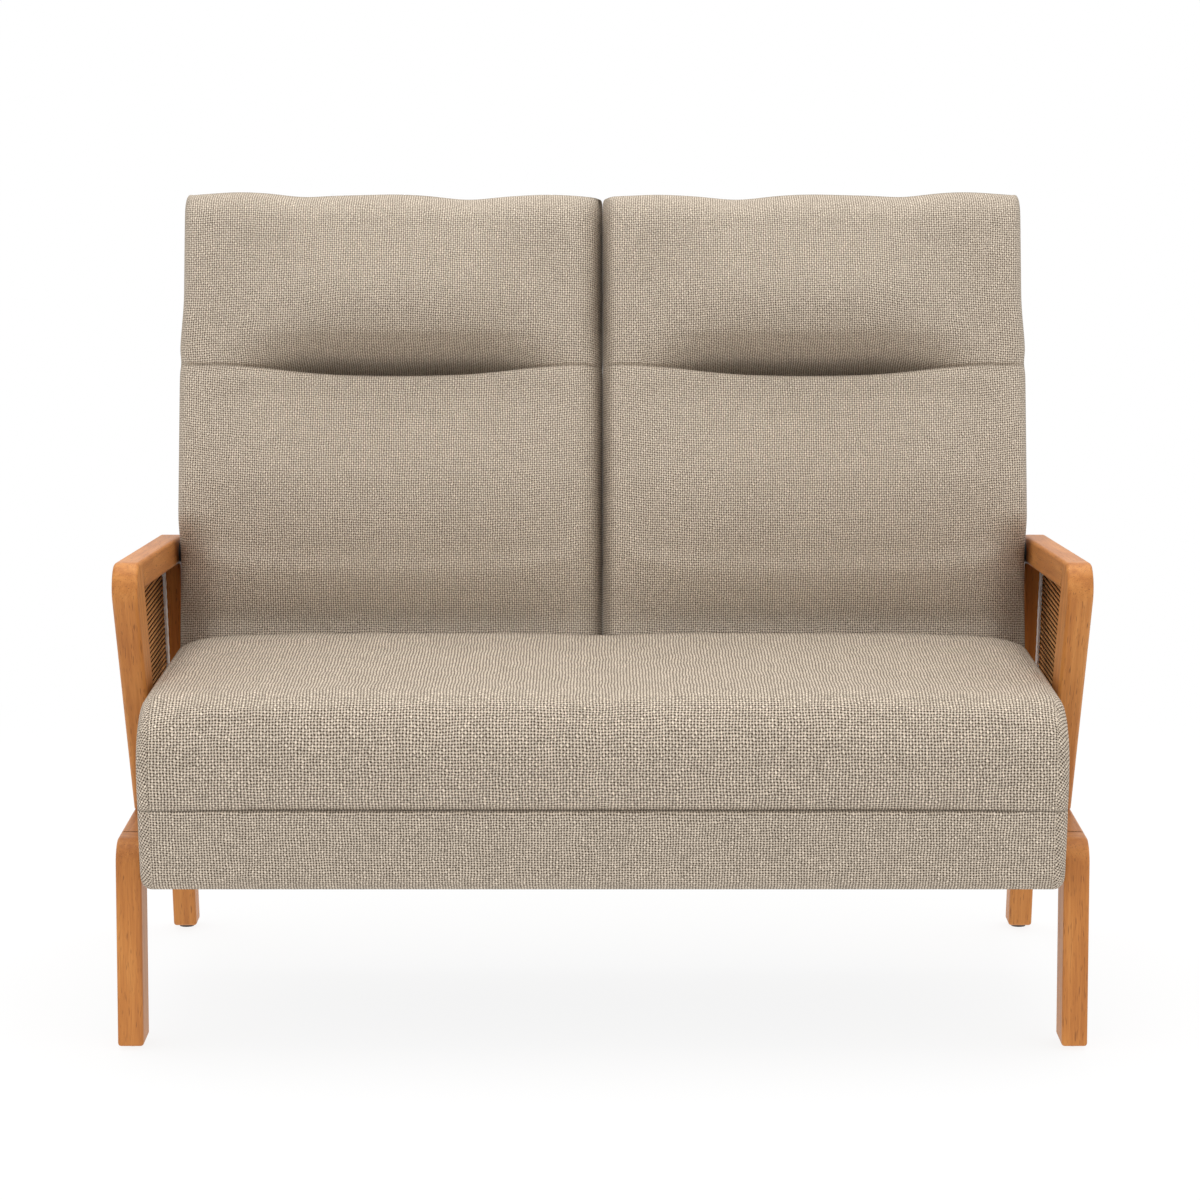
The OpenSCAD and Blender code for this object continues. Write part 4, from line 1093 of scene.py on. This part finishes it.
# Studio, in metres: each lamp's place, aim, size and power, the floor's grey, and the world's light
# for the rays that don't see the white backdrop
LAMPS = (
    ("overhead_lamp", (0.0, 0.0, 3.3), (0, 0.0, 0.0), (3.2, 3.0), 48),
    ("front_lamp", (0.0, -3.6, 2.0), (0, 0.1, 0.5), (3.4, 2.0), 9),
)
FLOOR_GREY = (0.94, 0.94, 0.94)
WHITE = (1, 1, 1)
WORLD_LIGHT = 0.06
# The camera's place, how far it looks down in degrees, its lens and sensor in millimetres and its shift
CAMERA_AT = (0, -5.1852, 1.2929)
CAMERA_DOWN = 6.5
LENS = 121.08
SENSOR = 36.0
SHIFT = (-0.00219, -0.1174)


def studio():
    ground = Finish("studio_floor")
    far = ground.node("ShaderNodeVectorMath", {"operation": "LENGTH"}, [ground.spot()], 1).span(1.1, 2.4)
    lit = ground.node("ShaderNodeBsdfDiffuse", {}, {"Color": rgba(FLOOR_GREY)})
    white = ground.node("ShaderNodeEmission", {}, {"Color": rgba(WHITE), "Strength": 1.0})
    share = ground.shows_backdrop() * (far * 0.13 + 0.87)
    both = ground.node("ShaderNodeMixShader", {}, [share, lit, white])
    ground.node("ShaderNodeOutputMaterial", {}, {"Surface": both})
    mesh = bpy.data.meshes.new("studio_floor")
    work = bmesh.new()
    bmesh.ops.create_grid(work, x_segments=8, y_segments=8, size=14)
    work.to_mesh(mesh)
    work.free()
    mesh.materials.append(ground.owner)
    into_scene("studio_floor", mesh)

    air = Finish("studio_air", bpy.data.worlds.new("studio_air"))
    scene.world = air.owner
    glow, plain = (air.node("ShaderNodeBackground", {}, {"Color": rgba(WHITE), "Strength": strength})
                   for strength in (WORLD_LIGHT, 1.0))
    mixed = air.node("ShaderNodeMixShader", {}, [air.shows_backdrop(), glow, plain])
    air.node("ShaderNodeOutputWorld", {}, {"Surface": mixed})

    for name, place, aim, size, power in LAMPS:
        lamp = bpy.data.lights.new(name, "AREA")
        lamp.shape, lamp.size, lamp.size_y = "RECTANGLE", size[0], size[1]
        lamp.energy = power
        holder = into_scene(name, lamp)
        holder.location = place
        holder.rotation_euler = (Vector(aim) - Vector(place)).to_track_quat("-Z", "Y").to_euler()

    camera = bpy.data.cameras.new("camera")
    camera.sensor_width, camera.lens = SENSOR, LENS
    camera.shift_x, camera.shift_y = SHIFT
    holder = into_scene("camera", camera)
    holder.location = CAMERA_AT
    holder.rotation_euler = (radians(90 - CAMERA_DOWN), 0, 0)
    scene.camera = holder
    scene.view_settings.view_transform = "Standard"


studio()
timber_finish = oak()
back_cloth = cover_cloth("cover_cloth_back", 0.66, 0.40)
seat_cloth = cover_cloth("cover_cloth_seat", 1.0, 0.90)
cord = cord_finish("woven_cord", (0.84, 0.40, 0.15), 0.0026)
# Near-black strands: painted shade seen in the gaps between the cords.
strand = cord_finish("upright_strand", (0.075, 0.030, 0.013), 0.0022)
bead_finish = metal_finish("bead_metal", (0.99, 0.98, 0.97), 0.30, 0.05)
lining = lining_finish()

for side, word in ((-1, "left"), (1, "right")):
    side_frame(side, word, timber_finish)
    woven_panel(side, word, cord, strand)
    beads(side, word, bead_finish)
back_units(back_cloth)
seat_unit(seat_cloth)
dust_cloth(lining)

# Inside finishes: colour, stretch of the fine grain, depth of the bump and roughness
GRAINED = {
    "frame_softwood": ((0.62, 0.44, 0.25), (60.0, 60.0, 300.0), 0.0004, 0.7),
    "foam": ((0.80, 0.68, 0.36), (700.0, 700.0, 700.0), 0.0008, 0.95),
    "webbing": ((0.16, 0.10, 0.06), (120.0, 900.0, 900.0), 0.0004, 0.85),
    "glide_plastic": ((0.055, 0.05, 0.046), (500.0, 500.0, 500.0), 0.0001, 0.55),
    "spacer_rubber": ((0.035, 0.034, 0.033), (900.0, 900.0, 900.0), 0.0001, 0.7),
}
finishes = {name: grained_finish(name, *looks) for name, looks in GRAINED.items()}
finishes.update({
    "zinc_steel": metal_finish("zinc_steel", (0.62, 0.62, 0.60), 0.34, 1.0),
    "insert_brass": metal_finish("insert_brass", (0.72, 0.52, 0.22), 0.30, 1.0),
    "oak_timber": timber_finish, "cover_cloth": seat_cloth, "woven_cord": cord,
    "bead_metal": bead_finish, "dust_cloth": lining,
})
slot_of = {part["node"]: part["material_slot"] for part in frame["record"]["subparts"]}
for name, node in frame["nodes"].items():
    node.data.materials.clear()
    node.data.materials.append(finishes.get(slot_of.get(name), finishes["frame_softwood"]))
